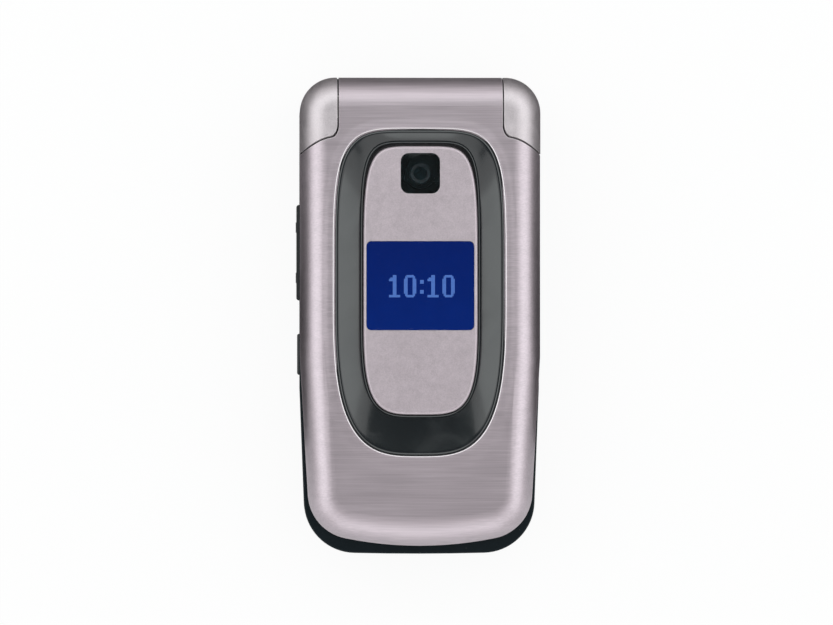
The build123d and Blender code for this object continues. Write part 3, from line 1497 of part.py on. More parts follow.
# ====================================================================== OUTPUT
built = [
    lid_outer_shell, lid_inner_cover, trough_ring, display_island, outer_display_window,
    outer_display_module, camera_window, camera_module, inner_display_window, inner_display_module,
    lid_board, earpiece, vibra_motor, vibra_weight, lid_screws, bumpers, hinge_can, hinge_shaft,
    hinge_follower, hinge_spring, flex_cable, shoulder_left, shoulder_right, base_front_cover,
    base_rear_housing, battery_cover, battery, battery_contacts, sim_holder, main_board, shield_cans,
    loudspeaker, antenna_plate, charger_jack, accessory_connector, base_screws, key_domes, keymat_web,
    select_key, scroll_ring, scroll_pusher, volume_rocker, side_key, side_key_bracket,
]
pieces = [builder.part for builder in built] + number_keys + function_keys
os.makedirs("parts", exist_ok=True)
for piece in pieces:
    export_step(piece, f"parts/{piece.label}.step")
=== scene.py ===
# %% [markdown]
# A folding phone, dressed in Blender.
# The solid model of the phone comes first: it was made in a CAD tool, and every piece of it already has
# its real shape, size and place. This lesson gives each piece its finish, and adds the small things that
# a solid model leaves out: legends on the keys, a lit display, a lens, woven dust guards and contacts.
# All lengths in the file are written in millimetres and turned into Blender's metres by one helper.

# %% Load the frame
import math

import bmesh
import bpy
from mathutils import Matrix, Vector


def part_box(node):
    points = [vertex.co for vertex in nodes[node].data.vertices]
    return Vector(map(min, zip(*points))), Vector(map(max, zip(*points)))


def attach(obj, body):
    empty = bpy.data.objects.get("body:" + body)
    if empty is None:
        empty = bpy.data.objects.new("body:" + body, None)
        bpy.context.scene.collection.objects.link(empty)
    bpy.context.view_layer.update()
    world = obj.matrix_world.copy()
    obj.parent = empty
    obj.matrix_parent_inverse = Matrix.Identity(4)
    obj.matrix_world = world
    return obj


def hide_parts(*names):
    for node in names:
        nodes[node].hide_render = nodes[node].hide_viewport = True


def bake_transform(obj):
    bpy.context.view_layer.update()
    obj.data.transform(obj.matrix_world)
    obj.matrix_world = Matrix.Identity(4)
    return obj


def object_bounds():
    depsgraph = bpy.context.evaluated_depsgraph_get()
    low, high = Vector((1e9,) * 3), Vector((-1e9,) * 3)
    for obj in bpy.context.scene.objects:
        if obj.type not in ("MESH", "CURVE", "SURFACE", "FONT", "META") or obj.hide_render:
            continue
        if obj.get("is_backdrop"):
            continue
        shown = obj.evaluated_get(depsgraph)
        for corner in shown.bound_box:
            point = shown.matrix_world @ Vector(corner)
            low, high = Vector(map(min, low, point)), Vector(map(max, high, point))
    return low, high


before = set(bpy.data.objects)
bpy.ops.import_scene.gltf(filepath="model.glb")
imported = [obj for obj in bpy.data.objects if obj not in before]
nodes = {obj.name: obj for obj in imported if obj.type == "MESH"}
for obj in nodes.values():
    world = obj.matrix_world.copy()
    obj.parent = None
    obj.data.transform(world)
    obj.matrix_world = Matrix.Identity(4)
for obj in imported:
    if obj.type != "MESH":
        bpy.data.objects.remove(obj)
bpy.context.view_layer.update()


# %% Millimetres
MM = 0.001


def mm(*values):
    """A length, or a point, given in millimetres."""
    if len(values) == 1:
        return values[0] * MM
    return Vector(values) * MM


def box_mm(node):
    """Lowest and highest corner of a node of the frame, in millimetres."""
    low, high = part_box(node)
    return Vector(low) / MM, Vector(high) / MM


def middle_mm(node):
    """Middle of a node of the frame, in millimetres."""
    low, high = box_mm(node)
    return (low + high) / 2


lid_low, lid_high = box_mm("lid_outer_shell")
print("lid from", tuple(round(v, 2) for v in lid_low), "to", tuple(round(v, 2) for v in lid_high))

# %% [markdown]
# A material in Blender is a small graph of nodes that ends in a shader. Nearly everything on a phone is
# plastic, metal or glass, so nearly every material here is one Principled BSDF with different numbers.
# What makes it look real is what varies over the surface: fine grain, brushing, handling marks and
# worn edges. Those effects come back in many materials, so each is made once as a node group.

# %% Helpers that make and wire nodes
FLOAT = "NodeSocketFloat"
INTEGER = "NodeSocketInt"
VECTOR = "NodeSocketVector"
GEOMETRY = "NodeSocketGeometry"
MATERIAL = "NodeSocketMaterial"


def feed(tree, socket, value):
    """Gives an input a plain value, or wires an output to it; a node stands for its first output."""
    if isinstance(value, bpy.types.Node):
        value = value.outputs[0]
    if isinstance(value, bpy.types.NodeSocket):
        tree.links.new(value, socket)
    else:
        socket.default_value = value


def add_node(tree, kind, *values, **settings):
    """Adds a node; settings fill the input or property that they name, values the inputs in order."""
    made = tree.nodes.new(kind)
    for key, value in settings.items():
        label = key.replace("_", " ")
        sockets = [socket for socket in made.inputs if socket.name.lower() == label]
        if sockets:
            feed(tree, sockets[0], value)
        else:
            setattr(made, key, value)
    for socket, value in zip(made.inputs, values):
        feed(tree, socket, value)
    return made


def new_tree(kind, name, inputs, outputs):
    """A node tree, what its inputs (name, kind, default) give, and its outputs (name, kind) to feed."""
    tree = bpy.data.node_groups.new(name, kind)
    for label, socket_kind, default in inputs:
        socket = tree.interface.new_socket(label, in_out="INPUT", socket_type=socket_kind)
        if default is not None:
            socket.default_value = default
    for label, socket_kind in outputs:
        tree.interface.new_socket(label, in_out="OUTPUT", socket_type=socket_kind)
    return tree, add_node(tree, "NodeGroupInput").outputs, add_node(tree, "NodeGroupOutput").inputs


def math_node(tree, operation, *operands, clamp=False):
    """The output of a Math node; each operand is a number or an output."""
    return add_node(tree, "ShaderNodeMath", *operands, operation=operation, use_clamp=clamp).outputs[0]


def mix_colors(tree, factor, first, second):
    """Mixes two colours by a factor; each is an RGB tuple or an output."""
    made = add_node(tree, "ShaderNodeMix", factor, data_type="RGBA")
    for socket, value in ((made.inputs[6], first), (made.inputs[7], second)):
        feed(tree, socket, (*value, 1.0) if isinstance(value, tuple) else value)
    return made.outputs[2]


def object_place(tree):
    """Where a point of the surface is on its object, in metres."""
    return add_node(tree, "ShaderNodeTexCoord").outputs["Object"]


def object_place_mm(tree):
    """Where a point of the surface is on its object, in millimetres."""
    return add_node(tree, "ShaderNodeVectorMath", object_place(tree), operation="SCALE", scale=1 / MM)


# %% [markdown]
# Fine grain is the uneven skin that paint and moulded plastic always have. It could be an image, but a
# noise read from Object coordinates has no seams and stays sharp at any distance. The group takes a
# stretch along X as well: with a large stretch the same noise becomes brushing, which is what hundreds
# of parallel scratches look like.

# %% Grain group
def grain_group():
    """Noise in millimetres: a height for bump, and a centred tint for colour and roughness."""
    inputs = [("Grain per mm", FLOAT, 6.0), ("Stretch X", FLOAT, 1.0), ("Detail", FLOAT, 3.0)]
    outputs = [("Height", FLOAT), ("Tint", FLOAT)]
    group, given, result = new_tree("ShaderNodeTree", "surface_grain", inputs, outputs)
    per_mm = given["Grain per mm"]
    stretch = math_node(group, "DIVIDE", 1 / MM, given["Stretch X"])
    scale = add_node(group, "ShaderNodeCombineXYZ", stretch, 1 / MM, 1 / MM)
    scaled = add_node(group, "ShaderNodeVectorMath", object_place(group), scale, operation="MULTIPLY")
    detail = given["Detail"]
    fine = add_node(group, "ShaderNodeTexNoise", vector=scaled, scale=per_mm, detail=detail)
    coarse_scale = math_node(group, "MULTIPLY", per_mm, 0.13)
    coarse = add_node(group, "ShaderNodeTexNoise", vector=scaled, scale=coarse_scale, detail=2.0)
    fine_part = math_node(group, "SUBTRACT", fine, 0.5)
    coarse_part = math_node(group, "MULTIPLY", math_node(group, "SUBTRACT", coarse, 0.5), 0.4)
    feed(group, result["Height"], fine)
    feed(group, result["Tint"], math_node(group, "ADD", fine_part, coarse_part))
    return group


grain = grain_group()
print("group", grain.name)


# %% [markdown]
# Edges wear first. Cycles can tell where an edge is: the Bevel node gives the normal that a rounded
# edge would have, and where it differs from the true normal there is an edge. The difference, broken up
# by noise, is a mask for paler, rougher, handled edges.

# %% Edge wear group
def edge_group():
    """A mask that is 1 on sharp edges that have been handled, broken up by noise."""
    inputs = [("Radius", FLOAT, 0.0003), ("Amount", FLOAT, 1.0), ("Breakup per mm", FLOAT, 1.2)]
    group, given, result = new_tree("ShaderNodeTree", "edge_wear", inputs, [("Mask", FLOAT)])
    soft = add_node(group, "ShaderNodeBevel", samples=4, radius=given["Radius"])
    true = add_node(group, "ShaderNodeNewGeometry").outputs["Normal"]
    agree = add_node(group, "ShaderNodeVectorMath", soft, true, operation="DOT_PRODUCT")
    edge = math_node(group, "SUBTRACT", 1.0, agree.outputs["Value"])
    scale = given["Breakup per mm"]
    breakup = add_node(group, "ShaderNodeTexNoise", vector=object_place_mm(group), scale=scale, detail=4.0)
    patchy = math_node(group, "SUBTRACT", math_node(group, "MULTIPLY", breakup, 2.2), 0.45)
    worn = math_node(group, "MULTIPLY", math_node(group, "MULTIPLY", edge, 6.0), patchy)
    mask = math_node(group, "MULTIPLY", worn, given["Amount"], clamp=True)
    feed(group, result["Mask"], mask)
    return group


edge_wear = edge_group()
print("group", edge_wear.name)


# %% [markdown]
# Glossy things carry finger marks and a little dust. Both are rougher patches: finger marks are broad
# and soft, dust is tiny specks. One group gives both masks, so gloss never looks computer clean.

# %% Handling group
def handling_group():
    """Smudge is broad and soft, Dust is fine specks; both run from 0 to 1."""
    inputs = [("Smudge per mm", FLOAT, 0.12), ("Dust per mm", FLOAT, 2.2), ("Dust share", FLOAT, 0.3)]
    outputs = [("Smudge", FLOAT), ("Dust", FLOAT)]
    group, given, result = new_tree("ShaderNodeTree", "handling", inputs, outputs)
    place = object_place_mm(group)
    per_mm = given["Smudge per mm"]
    broad = add_node(group, "ShaderNodeTexNoise", vector=place, scale=per_mm, detail=5.0, distortion=0.8)
    smudge = add_node(group, "ShaderNodeMapRange", broad, from_min=0.45, from_max=0.7)
    specks = add_node(group, "ShaderNodeTexVoronoi", vector=place, scale=given["Dust per mm"])
    rare = add_node(group, "ShaderNodeTexNoise", vector=place, scale=0.9, detail=2.0)
    near = math_node(group, "LESS_THAN", specks, 0.12)
    kept = math_node(group, "LESS_THAN", rare, given["Dust share"])
    feed(group, result["Smudge"], smudge)
    feed(group, result["Dust"], math_node(group, "MULTIPLY", near, kept))
    return group


handling = handling_group()
print("group", handling.name)


# %% A material from a few plain numbers
def new_material(name):
    """A new material, its node tree and its Principled BSDF."""
    made = bpy.data.materials.new(name)
    made.use_nodes = True
    return made, made.node_tree, made.node_tree.nodes["Principled BSDF"]


def place_group(tree, group, **values):
    """Puts a node group in a tree and sets its inputs; spaces in their names are underscores here."""
    made = add_node(tree, "ShaderNodeGroup", node_tree=group)
    for key, value in values.items():
        made.inputs[key.replace("_", " ")].default_value = value
    return made


def plus_share(tree, base, mask, share):
    """A base value with a share of a mask added, kept between 0 and 1."""
    return math_node(tree, "ADD", math_node(tree, "MULTIPLY", mask, share), base, clamp=True)


def finish_material(
    name, color, roughness=0.5, metallic=0.0, specular=0.5, coat=0.0, coat_roughness=0.1,
    grain_per_mm=5.0, stretch=1.0, bump=0.2, depth=0.01, tint=0.08, rough_tint=0.15,
    worn=None, worn_amount=0.8, smudge=0.0, dust=0.0,
):
    """A Principled material with grain, worn edges and handling marks, all measured in millimetres."""
    made, tree, shader = new_material(name)
    shader.inputs["Metallic"].default_value = metallic
    shader.inputs["Specular IOR Level"].default_value = specular
    shader.inputs["Coat Weight"].default_value = coat
    shader.inputs["Coat Roughness"].default_value = coat_roughness
    skin = place_group(tree, grain, Grain_per_mm=grain_per_mm, Stretch_X=stretch, Detail=3.0)
    darker = tuple(part * (1 - tint) for part in color)
    lighter = tuple(min(1.0, part * (1 + tint)) for part in color)
    paint = mix_colors(tree, plus_share(tree, 0.5, skin.outputs["Tint"], 2.0), darker, lighter)
    rough = plus_share(tree, roughness, skin.outputs["Tint"], rough_tint)
    if worn is not None:
        wear = place_group(tree, edge_wear, Radius=mm(0.25), Amount=worn_amount, Breakup_per_mm=0.7)
        paint = mix_colors(tree, wear, paint, worn)
        rough = plus_share(tree, rough, wear, 0.12)
    if smudge or dust:
        touched = place_group(tree, handling)
        rough = plus_share(tree, rough, touched.outputs["Smudge"], smudge)
        speck = math_node(tree, "MULTIPLY", touched.outputs["Dust"], dust)
        paint = mix_colors(tree, speck, paint, (0.55, 0.53, 0.5))
        rough = math_node(tree, "ADD", rough, speck, clamp=True)
    height = skin.outputs["Height"]
    relief = add_node(tree, "ShaderNodeBump", strength=bump, distance=mm(depth), height=height)
    feed(tree, shader.inputs["Base Color"], paint)
    feed(tree, shader.inputs["Roughness"], rough)
    feed(tree, shader.inputs["Normal"], relief)
    return made


def shader_of(material):
    """The Principled BSDF of a material."""
    return material.node_tree.nodes["Principled BSDF"]


def dress(material, *names):
    """Gives nodes of the frame a material."""
    for name in names:
        for material_slot in nodes[name].material_slots:
            material_slot.material = material
    print(material.name, "on", *names)


# %% [markdown]
# The lid is a thin metal skin, brushed from side to side and lacquered. Real brushing is thousands of
# fine grooves, all along X. Noise stretched seventy times along X gives grooves of the right width, and
# as bump they also spread highlights along Y, which is how brushed metal is known at a glance.

# %% Lid, shoulders and island
lid_metal = finish_material(
    "lid_metal", (0.48, 0.42, 0.455), roughness=0.42, metallic=1.0, stretch=70.0, bump=0.28, depth=0.012,
    tint=0.12, rough_tint=0.08, worn=(0.66, 0.63, 0.64), smudge=0.02, dust=0.2,
)
brushing = add_node(lid_metal.node_tree, "ShaderNodeTangent", direction_type="RADIAL", axis="X")
shader_of(lid_metal).inputs["Anisotropic"].default_value = 0.5
feed(lid_metal.node_tree, shader_of(lid_metal).inputs["Tangent"], brushing)
dress(lid_metal, "lid_outer_shell")

# the rim round the ring is the same skin, without worn edges where it meets the lid
rim_metal = lid_metal.copy()
rim_metal.name = "rim_metal"
for node in rim_metal.node_tree.nodes:
    if node.type == "GROUP" and node.node_tree == edge_wear:
        node.inputs["Amount"].default_value = 0.0

shoulder_paint = finish_material(
    "shoulder_paint", (0.555, 0.51, 0.53), metallic=1.0, bump=0.4, depth=0.012, tint=0.12, rough_tint=0.2,
    worn=(0.66, 0.63, 0.64), smudge=0.06, dust=0.3,
)
dress(shoulder_paint, "shoulder_left", "shoulder_right")

island_paint = finish_material(
    "island_paint", (0.51, 0.445, 0.48), metallic=0.75, bump=0.4, depth=0.012, tint=0.13,
    worn=(0.62, 0.59, 0.6), worn_amount=0.35, smudge=0.05, dust=0.2,
)
dress(island_paint, "display_island")

# %% Dark housings and rubber
housing_plastic = finish_material(
    "housing_plastic", (0.003, 0.008, 0.010), bump=0.25, tint=0.2, worn=(0.05, 0.06, 0.065),
    smudge=0.12, dust=0.4, specular=0.08,
)
dress(housing_plastic, "base_rear_housing", "battery_cover")

rubber_dark = finish_material(
    "rubber_dark", (0.018, 0.020, 0.022), roughness=0.62, grain_per_mm=4.0, bump=0.4, depth=0.02, tint=0.2,
    worn=(0.06, 0.06, 0.062), dust=0.5,
)
dress(rubber_dark, "volume_rocker", "side_key", "bumpers")

# %% [markdown]
# The sloping ring round the display is polished black plastic. It has hardly any colour of its own: what
# is seen in it is the room. A very dark base, a low roughness and a clear coat do that, and the soft
# finger marks keep the reflections from being perfect.

# %% Gloss black ring
ring_gloss = finish_material(
    "ring_gloss", (0.003, 0.006, 0.008), roughness=0.16, grain_per_mm=3.0, bump=0.06, depth=0.004,
    tint=0.15, rough_tint=0.05, worn=(0.06, 0.065, 0.07), worn_amount=0.3, smudge=0.1, dust=0.2,
    specular=0.78, coat=0.3, coat_roughness=0.08,
)
dress(ring_gloss, "trough_ring")

# %% Inner mouldings, keys and keypad plate
inner_plastic = finish_material(
    "inner_plastic", (0.030, 0.033, 0.036), grain_per_mm=9.0, bump=0.5, depth=0.02, tint=0.15,
    worn=(0.08, 0.085, 0.09), smudge=0.1, dust=0.5,
)
dress(inner_plastic, "lid_inner_cover", "scroll_pusher")

front_cover_plastic = finish_material(
    "front_cover_plastic", (0.004, 0.009, 0.012), roughness=0.46, grain_per_mm=8.0, bump=0.45, depth=0.015,
    tint=0.2, worn=(0.04, 0.05, 0.055), smudge=0.1, dust=0.5, specular=0.15,
)
dress(front_cover_plastic, "base_front_cover")

key_names = [f"key_{digit}" for digit in "0123456789"] + ["key_star", "key_hash"]
function_names = ["soft_key_left", "soft_key_right", "call_key", "end_key"]
key_paint = finish_material(
    "key_paint", (0.42, 0.39, 0.41), roughness=0.36, metallic=0.55, grain_per_mm=9.0, bump=0.25,
    depth=0.008, worn=(0.60, 0.58, 0.58), smudge=0.14, dust=0.3,
)
dress(key_paint, *key_names, *function_names, "select_key")

ring_key_chrome = finish_material(
    "ring_key_chrome", (0.46, 0.45, 0.46), roughness=0.26, metallic=1.0, bump=0.12, depth=0.004, tint=0.06,
    worn=(0.42, 0.40, 0.38), smudge=0.14,
)
dress(ring_key_chrome, "scroll_ring")

# %% Metals inside
sheet_steel = finish_material(
    "sheet_steel", (0.55, 0.55, 0.54), roughness=0.32, metallic=1.0, grain_per_mm=6.0, stretch=12.0,
    bump=0.25, tint=0.10, rough_tint=0.3, worn=(0.72, 0.72, 0.70),
)
dress(sheet_steel, "shield_cans", "side_key_bracket", "sim_holder")
dress(sheet_steel, "vibra_motor", "vibra_weight", "hinge_can")

turned_steel = finish_material(
    "turned_steel", (0.46, 0.45, 0.43), roughness=0.28, metallic=1.0, grain_per_mm=10.0, bump=0.3,
    depth=0.006, tint=0.14, worn=(0.70, 0.69, 0.66),
)
dress(turned_steel, "hinge_shaft", "hinge_follower", "hinge_spring", "base_screws", "lid_screws")

dome_steel = finish_material(
    "dome_steel", (0.68, 0.67, 0.63), roughness=0.24, metallic=1.0, grain_per_mm=4.0, bump=0.15, depth=0.004
)
dress(dome_steel, "key_domes")

gold_plate = finish_material(
    "gold_plate", (0.78, 0.57, 0.24), roughness=0.26, metallic=1.0, grain_per_mm=8.0, depth=0.005,
    tint=0.10, worn=(0.85, 0.70, 0.42),
)
dress(gold_plate, "battery_contacts", "antenna_plate")

# %% Rubber mat, modules, battery and boards
silicone = finish_material(
    "silicone", (0.62, 0.66, 0.68), roughness=0.55, grain_per_mm=3.0, bump=0.3, tint=0.06, dust=0.2
)
shader_of(silicone).inputs["Subsurface Weight"].default_value = 0.35
shader_of(silicone).inputs["Subsurface Radius"].default_value = (0.001, 0.001, 0.001)
dress(silicone, "keymat_web")

module_plastic = finish_material(
    "module_plastic", (0.020, 0.021, 0.023), roughness=0.48, grain_per_mm=7.0, bump=0.35, depth=0.012,
    tint=0.2, worn=(0.06, 0.06, 0.06),
)
dress(module_plastic, "camera_module", "earpiece", "loudspeaker", "charger_jack", "accessory_connector")
dress(module_plastic, "outer_display_module", "inner_display_module")

battery_wrap = finish_material(
    "battery_wrap", (0.07, 0.075, 0.085), roughness=0.4, grain_per_mm=2.0, stretch=4.0, bump=0.3,
    depth=0.02, tint=0.12, worn=(0.2, 0.2, 0.21), smudge=0.1,
)
dress(battery_wrap, "battery")

# %% [markdown]
# A circuit board is glass cloth in green lacquer, with copper tracks under the lacquer that show as
# slightly paler paths. Two sets of stripes, one counted along X and one along Y, picked by coarse cells,
# look like bundles of tracks that change direction, which is how real boards are routed. Flexible
# circuits are amber film with the same tracks inside, all running along the film.

# %% Circuit board and flex film
def stripes(tree, axis, pitch, share):
    """A mask of parallel lines, counted along an axis, at a pitch in millimetres."""
    place = add_node(tree, "ShaderNodeSeparateXYZ", object_place(tree)).outputs[axis]
    fraction = math_node(tree, "FRACT", math_node(tree, "MULTIPLY", place, 1 / MM / pitch))
    return math_node(tree, "LESS_THAN", fraction, share)


def track_pattern(tree):
    """A mask of thin parallel tracks that run along X in some places and along Y in others."""
    area = add_node(tree, "ShaderNodeTexVoronoi", vector=object_place(tree), scale=260.0)
    split_area = add_node(tree, "ShaderNodeSeparateColor", area.outputs["Color"])
    turned_here = math_node(tree, "GREATER_THAN", split_area.outputs[0], 0.5)
    routed = math_node(tree, "GREATER_THAN", split_area.outputs[1], 0.35)
    swap = add_node(tree, "ShaderNodeMix", turned_here, data_type="FLOAT")
    for index, axis in ((2, 0), (3, 1)):
        feed(tree, swap.inputs[index], stripes(tree, axis, pitch=0.8, share=0.35))
    return math_node(tree, "MULTIPLY", swap, routed)


def print_over(material, mask, color):
    """Lays a second colour over a material's paint where a mask is 1."""
    base = shader_of(material).inputs["Base Color"]
    paint = base.links[0].from_socket
    feed(material.node_tree, base, mix_colors(material.node_tree, mask, paint, color))


board_green = finish_material(
    "board_green", (0.010, 0.085, 0.035), roughness=0.35, grain_per_mm=4.0, depth=0.006, tint=0.15,
    coat=0.3,
)
print_over(board_green, track_pattern(board_green.node_tree), (0.03, 0.17, 0.07))
dress(board_green, "main_board", "lid_board")

flex_film = finish_material(
    "flex_film", (0.42, 0.17, 0.030), roughness=0.3, grain_per_mm=3.0, bump=0.15, depth=0.006, tint=0.1,
    coat=0.4,
)
print_over(flex_film, stripes(flex_film.node_tree, 0, pitch=0.5, share=0.5), (0.55, 0.28, 0.07))
dress(flex_film, "flex_cable")

# %% [markdown]
# Windows are clear plastic. A Principled BSDF with full transmission is a solid block of clear
# material, which is what they are. What is behind a window is in the dark unless it is lit, so the
# displays glow a little and the camera stays black, as in life.

# %% Clear windows
def window_material(name, color, ior, specular):
    """A clear, very smooth window with faint finger marks."""
    made = finish_material(
        name, color, roughness=0.02, grain_per_mm=0.5, bump=0.02, depth=0.002, tint=0.01, rough_tint=0.01,
        smudge=0.05, specular=specular,
    )
    shader_of(made).inputs["Transmission Weight"].default_value = 1.0
    shader_of(made).inputs["IOR"].default_value = ior
    return made


clear_window = window_material("clear_window", (0.96, 0.97, 0.98), ior=1.45, specular=0.5)
display_window = window_material("display_window", (0.93, 0.95, 0.98), ior=1.3, specular=0.1)
dress(clear_window, "outer_display_window", "inner_display_window", "camera_window")
print("materials", len(bpy.data.materials))

# %% [markdown]
# Small printed and punched things repeat: the dots of the display, the contacts of a socket, the threads
# of a dust cloth. Geometry Nodes make them from a rule, so that a change of pitch or count is one number.
# Each tree ends with real geometry and a material, and the result is kept as a plain mesh, because an
# exported model can't carry instances.

# %% Helpers for new pieces
def geometry_tree(name, inputs):
    """A geometry tree that takes geometry, some named inputs (name, kind, default) and a material."""
    inputs = [("Geometry", GEOMETRY, None), *inputs, ("Material", MATERIAL, None)]
    return new_tree("GeometryNodeTree", name, inputs, [("Geometry", GEOMETRY)])


def finish_tree(tree, given, result, geometry):
    """Makes instances real and gives them the material input, as the last two steps of a tree."""
    real = add_node(tree, "GeometryNodeRealizeInstances", geometry)
    paint = add_node(tree, "GeometryNodeSetMaterial", geometry=real, material=given["Material"])
    feed(tree, result["Geometry"], paint)


def new_object(name, data):
    """A new object of the scene that shows a mesh or some lettering."""
    made = bpy.data.objects.new(name, data)
    bpy.context.collection.objects.link(made)
    return made


def mesh_object(name, vertices, faces=()):
    """A new object from points in millimetres."""
    mesh = bpy.data.meshes.new(name)
    mesh.from_pydata([Vector(point) * MM for point in vertices], [], list(faces))
    return new_object(name, mesh)


def worked_out(piece):
    """An object's mesh after its modifiers, or the mesh of its lettering."""
    bpy.context.view_layer.update()
    return bpy.data.meshes.new_from_object(piece.evaluated_get(bpy.context.evaluated_depsgraph_get()))


def grow_mesh(piece, tree, values):
    """Runs a geometry tree on an object and keeps the result as that object's own plain mesh."""
    modifier = piece.modifiers.new("tree", "NODES")
    modifier.node_group = tree
    sockets = {item.name: item.identifier for item in tree.interface.items_tree if item.in_out == "INPUT"}
    for label, value in values.items():
        modifier[sockets[label]] = value
    grown_mesh = worked_out(piece)
    piece.modifiers.remove(modifier)
    piece.data = grown_mesh


def place_piece(piece, body, material=None):
    """Says which body a finished piece rides on, and gives it a material when one is given."""
    if material is not None:
        piece.data.materials.clear()
        piece.data.materials.append(material)
    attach(piece, body)
    print(piece.name, "on", body, "with", len(piece.data.polygons), "faces")


def text_mesh(name, words, size, centre, z, bold):
    """Flat lettering as a mesh, centred on a point and lying at a height, all in millimetres."""
    curve = bpy.data.curves.new(name, "FONT")
    curve.body = words
    curve.size = size
    curve.align_x = "CENTER"
    curve.align_y = "CENTER"
    curve.offset = bold
    holder = new_object(name, curve)
    flat = worked_out(holder)
    bpy.data.objects.remove(holder)
    low = Vector([min(vertex.co[i] for vertex in flat.vertices) for i in range(3)])
    high = Vector([max(vertex.co[i] for vertex in flat.vertices) for i in range(3)])
    middle = (low + high) / 2
    for vertex in flat.vertices:
        vertex.co = mm(centre[0] + vertex.co.x - middle.x, centre[1] + vertex.co.y - middle.y, z)
    return new_object(name, flat)


# %% [markdown]
# The ring and the island have no straight edges: both outlines are superellipses, squarer at the hinge
# end and rounder at the chin. The solid model builds them from arcs and lines, which is better for
# machining; here the smooth curve is worth more, because highlights run along it. Every surface below is
# a stack of closed rows of points, each row an outline grown or shrunk by some amount at some height.

# %% Outlines and bands
def superellipse(half_width, middle, top_y, bottom_y, top_power, bottom_power, count=240):
    """Points of a closed curve that is widest at its middle; a higher power makes squarer corners."""
    points = []
    for k in range(count):
        angle = 2 * math.pi * k / count
        across, up = math.cos(angle), math.sin(angle)
        power = top_power if up > 0 else bottom_power
        reach = (top_y - middle[1]) if up > 0 else (middle[1] - bottom_y)
        radius = ((abs(across) / half_width) ** power + (abs(up) / reach) ** power) ** (-1 / power)
        points.append(Vector((middle[0] + radius * across, middle[1] + radius * up)))
    return points


def normals_of(points):
    """Outward directions of a closed counter-clockwise curve."""
    made = []
    for k in range(len(points)):
        along = points[(k + 1) % len(points)] - points[k - 1]
        made.append(Vector((along.y, -along.x)).normalized())
    return made


def grown(points, amount):
    """The curve pushed outward by an amount."""
    return [point + normal * amount for point, normal in zip(points, normals_of(points))]


def at_height(points, z):
    """Gives a flat curve its height."""
    return [(point.x, point.y, z) for point in points]


def grown_rows(points, profile, base_z):
    """Rows of a curve from (grow, rise) pairs, with the rise counted from a height."""
    return [at_height(grown(points, grow), base_z + rise) for grow, rise in profile]


def band(name, rows, closed=False, cap=False):
    """Faces between rows of points; the rows run from low and outside to high and inside."""
    count = len(rows[0])
    vertices = [point for row in rows for point in row]
    faces = []
    pairs = list(zip(range(len(rows)), range(1, len(rows))))
    if closed:
        pairs.append((len(rows) - 1, 0))
    for lower, upper in pairs:
        for k in range(count):
            after = (k + 1) % count
            corners = ((lower, k), (lower, after), (upper, after), (upper, k))
            faces.append(tuple(row * count + place for row, place in corners))
    if cap:
        faces.append(tuple((len(rows) - 1) * count + k for k in range(count)))
        faces.append(tuple(reversed(range(count))))
    return mesh_object(name, vertices, faces)


def smooth_by_angle(piece, degrees=35):
    """Shades a piece smooth but keeps its sharp edges."""
    piece.data.shade_smooth()
    mesh = bmesh.new()
    mesh.from_mesh(piece.data)
    for edge in mesh.edges:
        edge.smooth = len(edge.link_faces) == 2 and edge.calc_face_angle(0.0) < math.radians(degrees)
    mesh.to_mesh(piece.data)
    mesh.free()


# %% [markdown]
# Three outlines are enough. The ring has the widest. The foot of its channel and the island share their
# width and their chin end, but the foot reaches further toward the hinge and is squarer there than the
# island, so a narrow gap opens above the island and stays in the dark.
#
# The ring is a channel that falls from its lip to that foot. It is deepest at the sides and shallow at
# both ends, because there it would otherwise be too steep or too flat to catch the light.

# %% Ring
ring_shape = {"half_width": 16.3, "middle": (-0.22, 5.0), "bottom_y": -26.75, "bottom_power": 3.25}
island_shape = {"half_width": 11.0, "middle": (-0.05, 3.1), "bottom_y": -19.0, "bottom_power": 4.0}
ring_curve = superellipse(**ring_shape, top_y=35.75, top_power=4.7)
foot_curve = superellipse(**island_shape, top_y=33.05, top_power=6.0)
island_curve = superellipse(**island_shape, top_y=32.65, top_power=5.2)
ring_wall_z = 21.0
ring_lip_z = 23.0
ring_lip = [(0.0, -0.50), (-0.03, -0.28), (-0.12, -0.13), (-0.26, -0.04), (-0.42, 0.0), (-0.60, -0.03)]
channel_side_depth = 1.55
channel_top_depth = 0.75
channel_bottom_depth = 1.2
channel_hollow = 0.12
channel_steps = 14
channel_end_grow = 0.66
foot_bead = [(0.62, -0.10), (0.56, -0.02), (0.48, 0.12), (0.38, 0.24), (0.28, 0.30), (0.20, 0.29)]
foot_bead += [(0.16, 0.22)]
ring_floor_z = 20.6
ring_floor_tuck = 0.1


def channel_depth(normal):
    """How deep the channel falls where the outline faces a direction."""
    end_depth = channel_top_depth if normal.y > 0 else channel_bottom_depth
    return channel_side_depth + normal.y**2 * (end_depth - channel_side_depth)


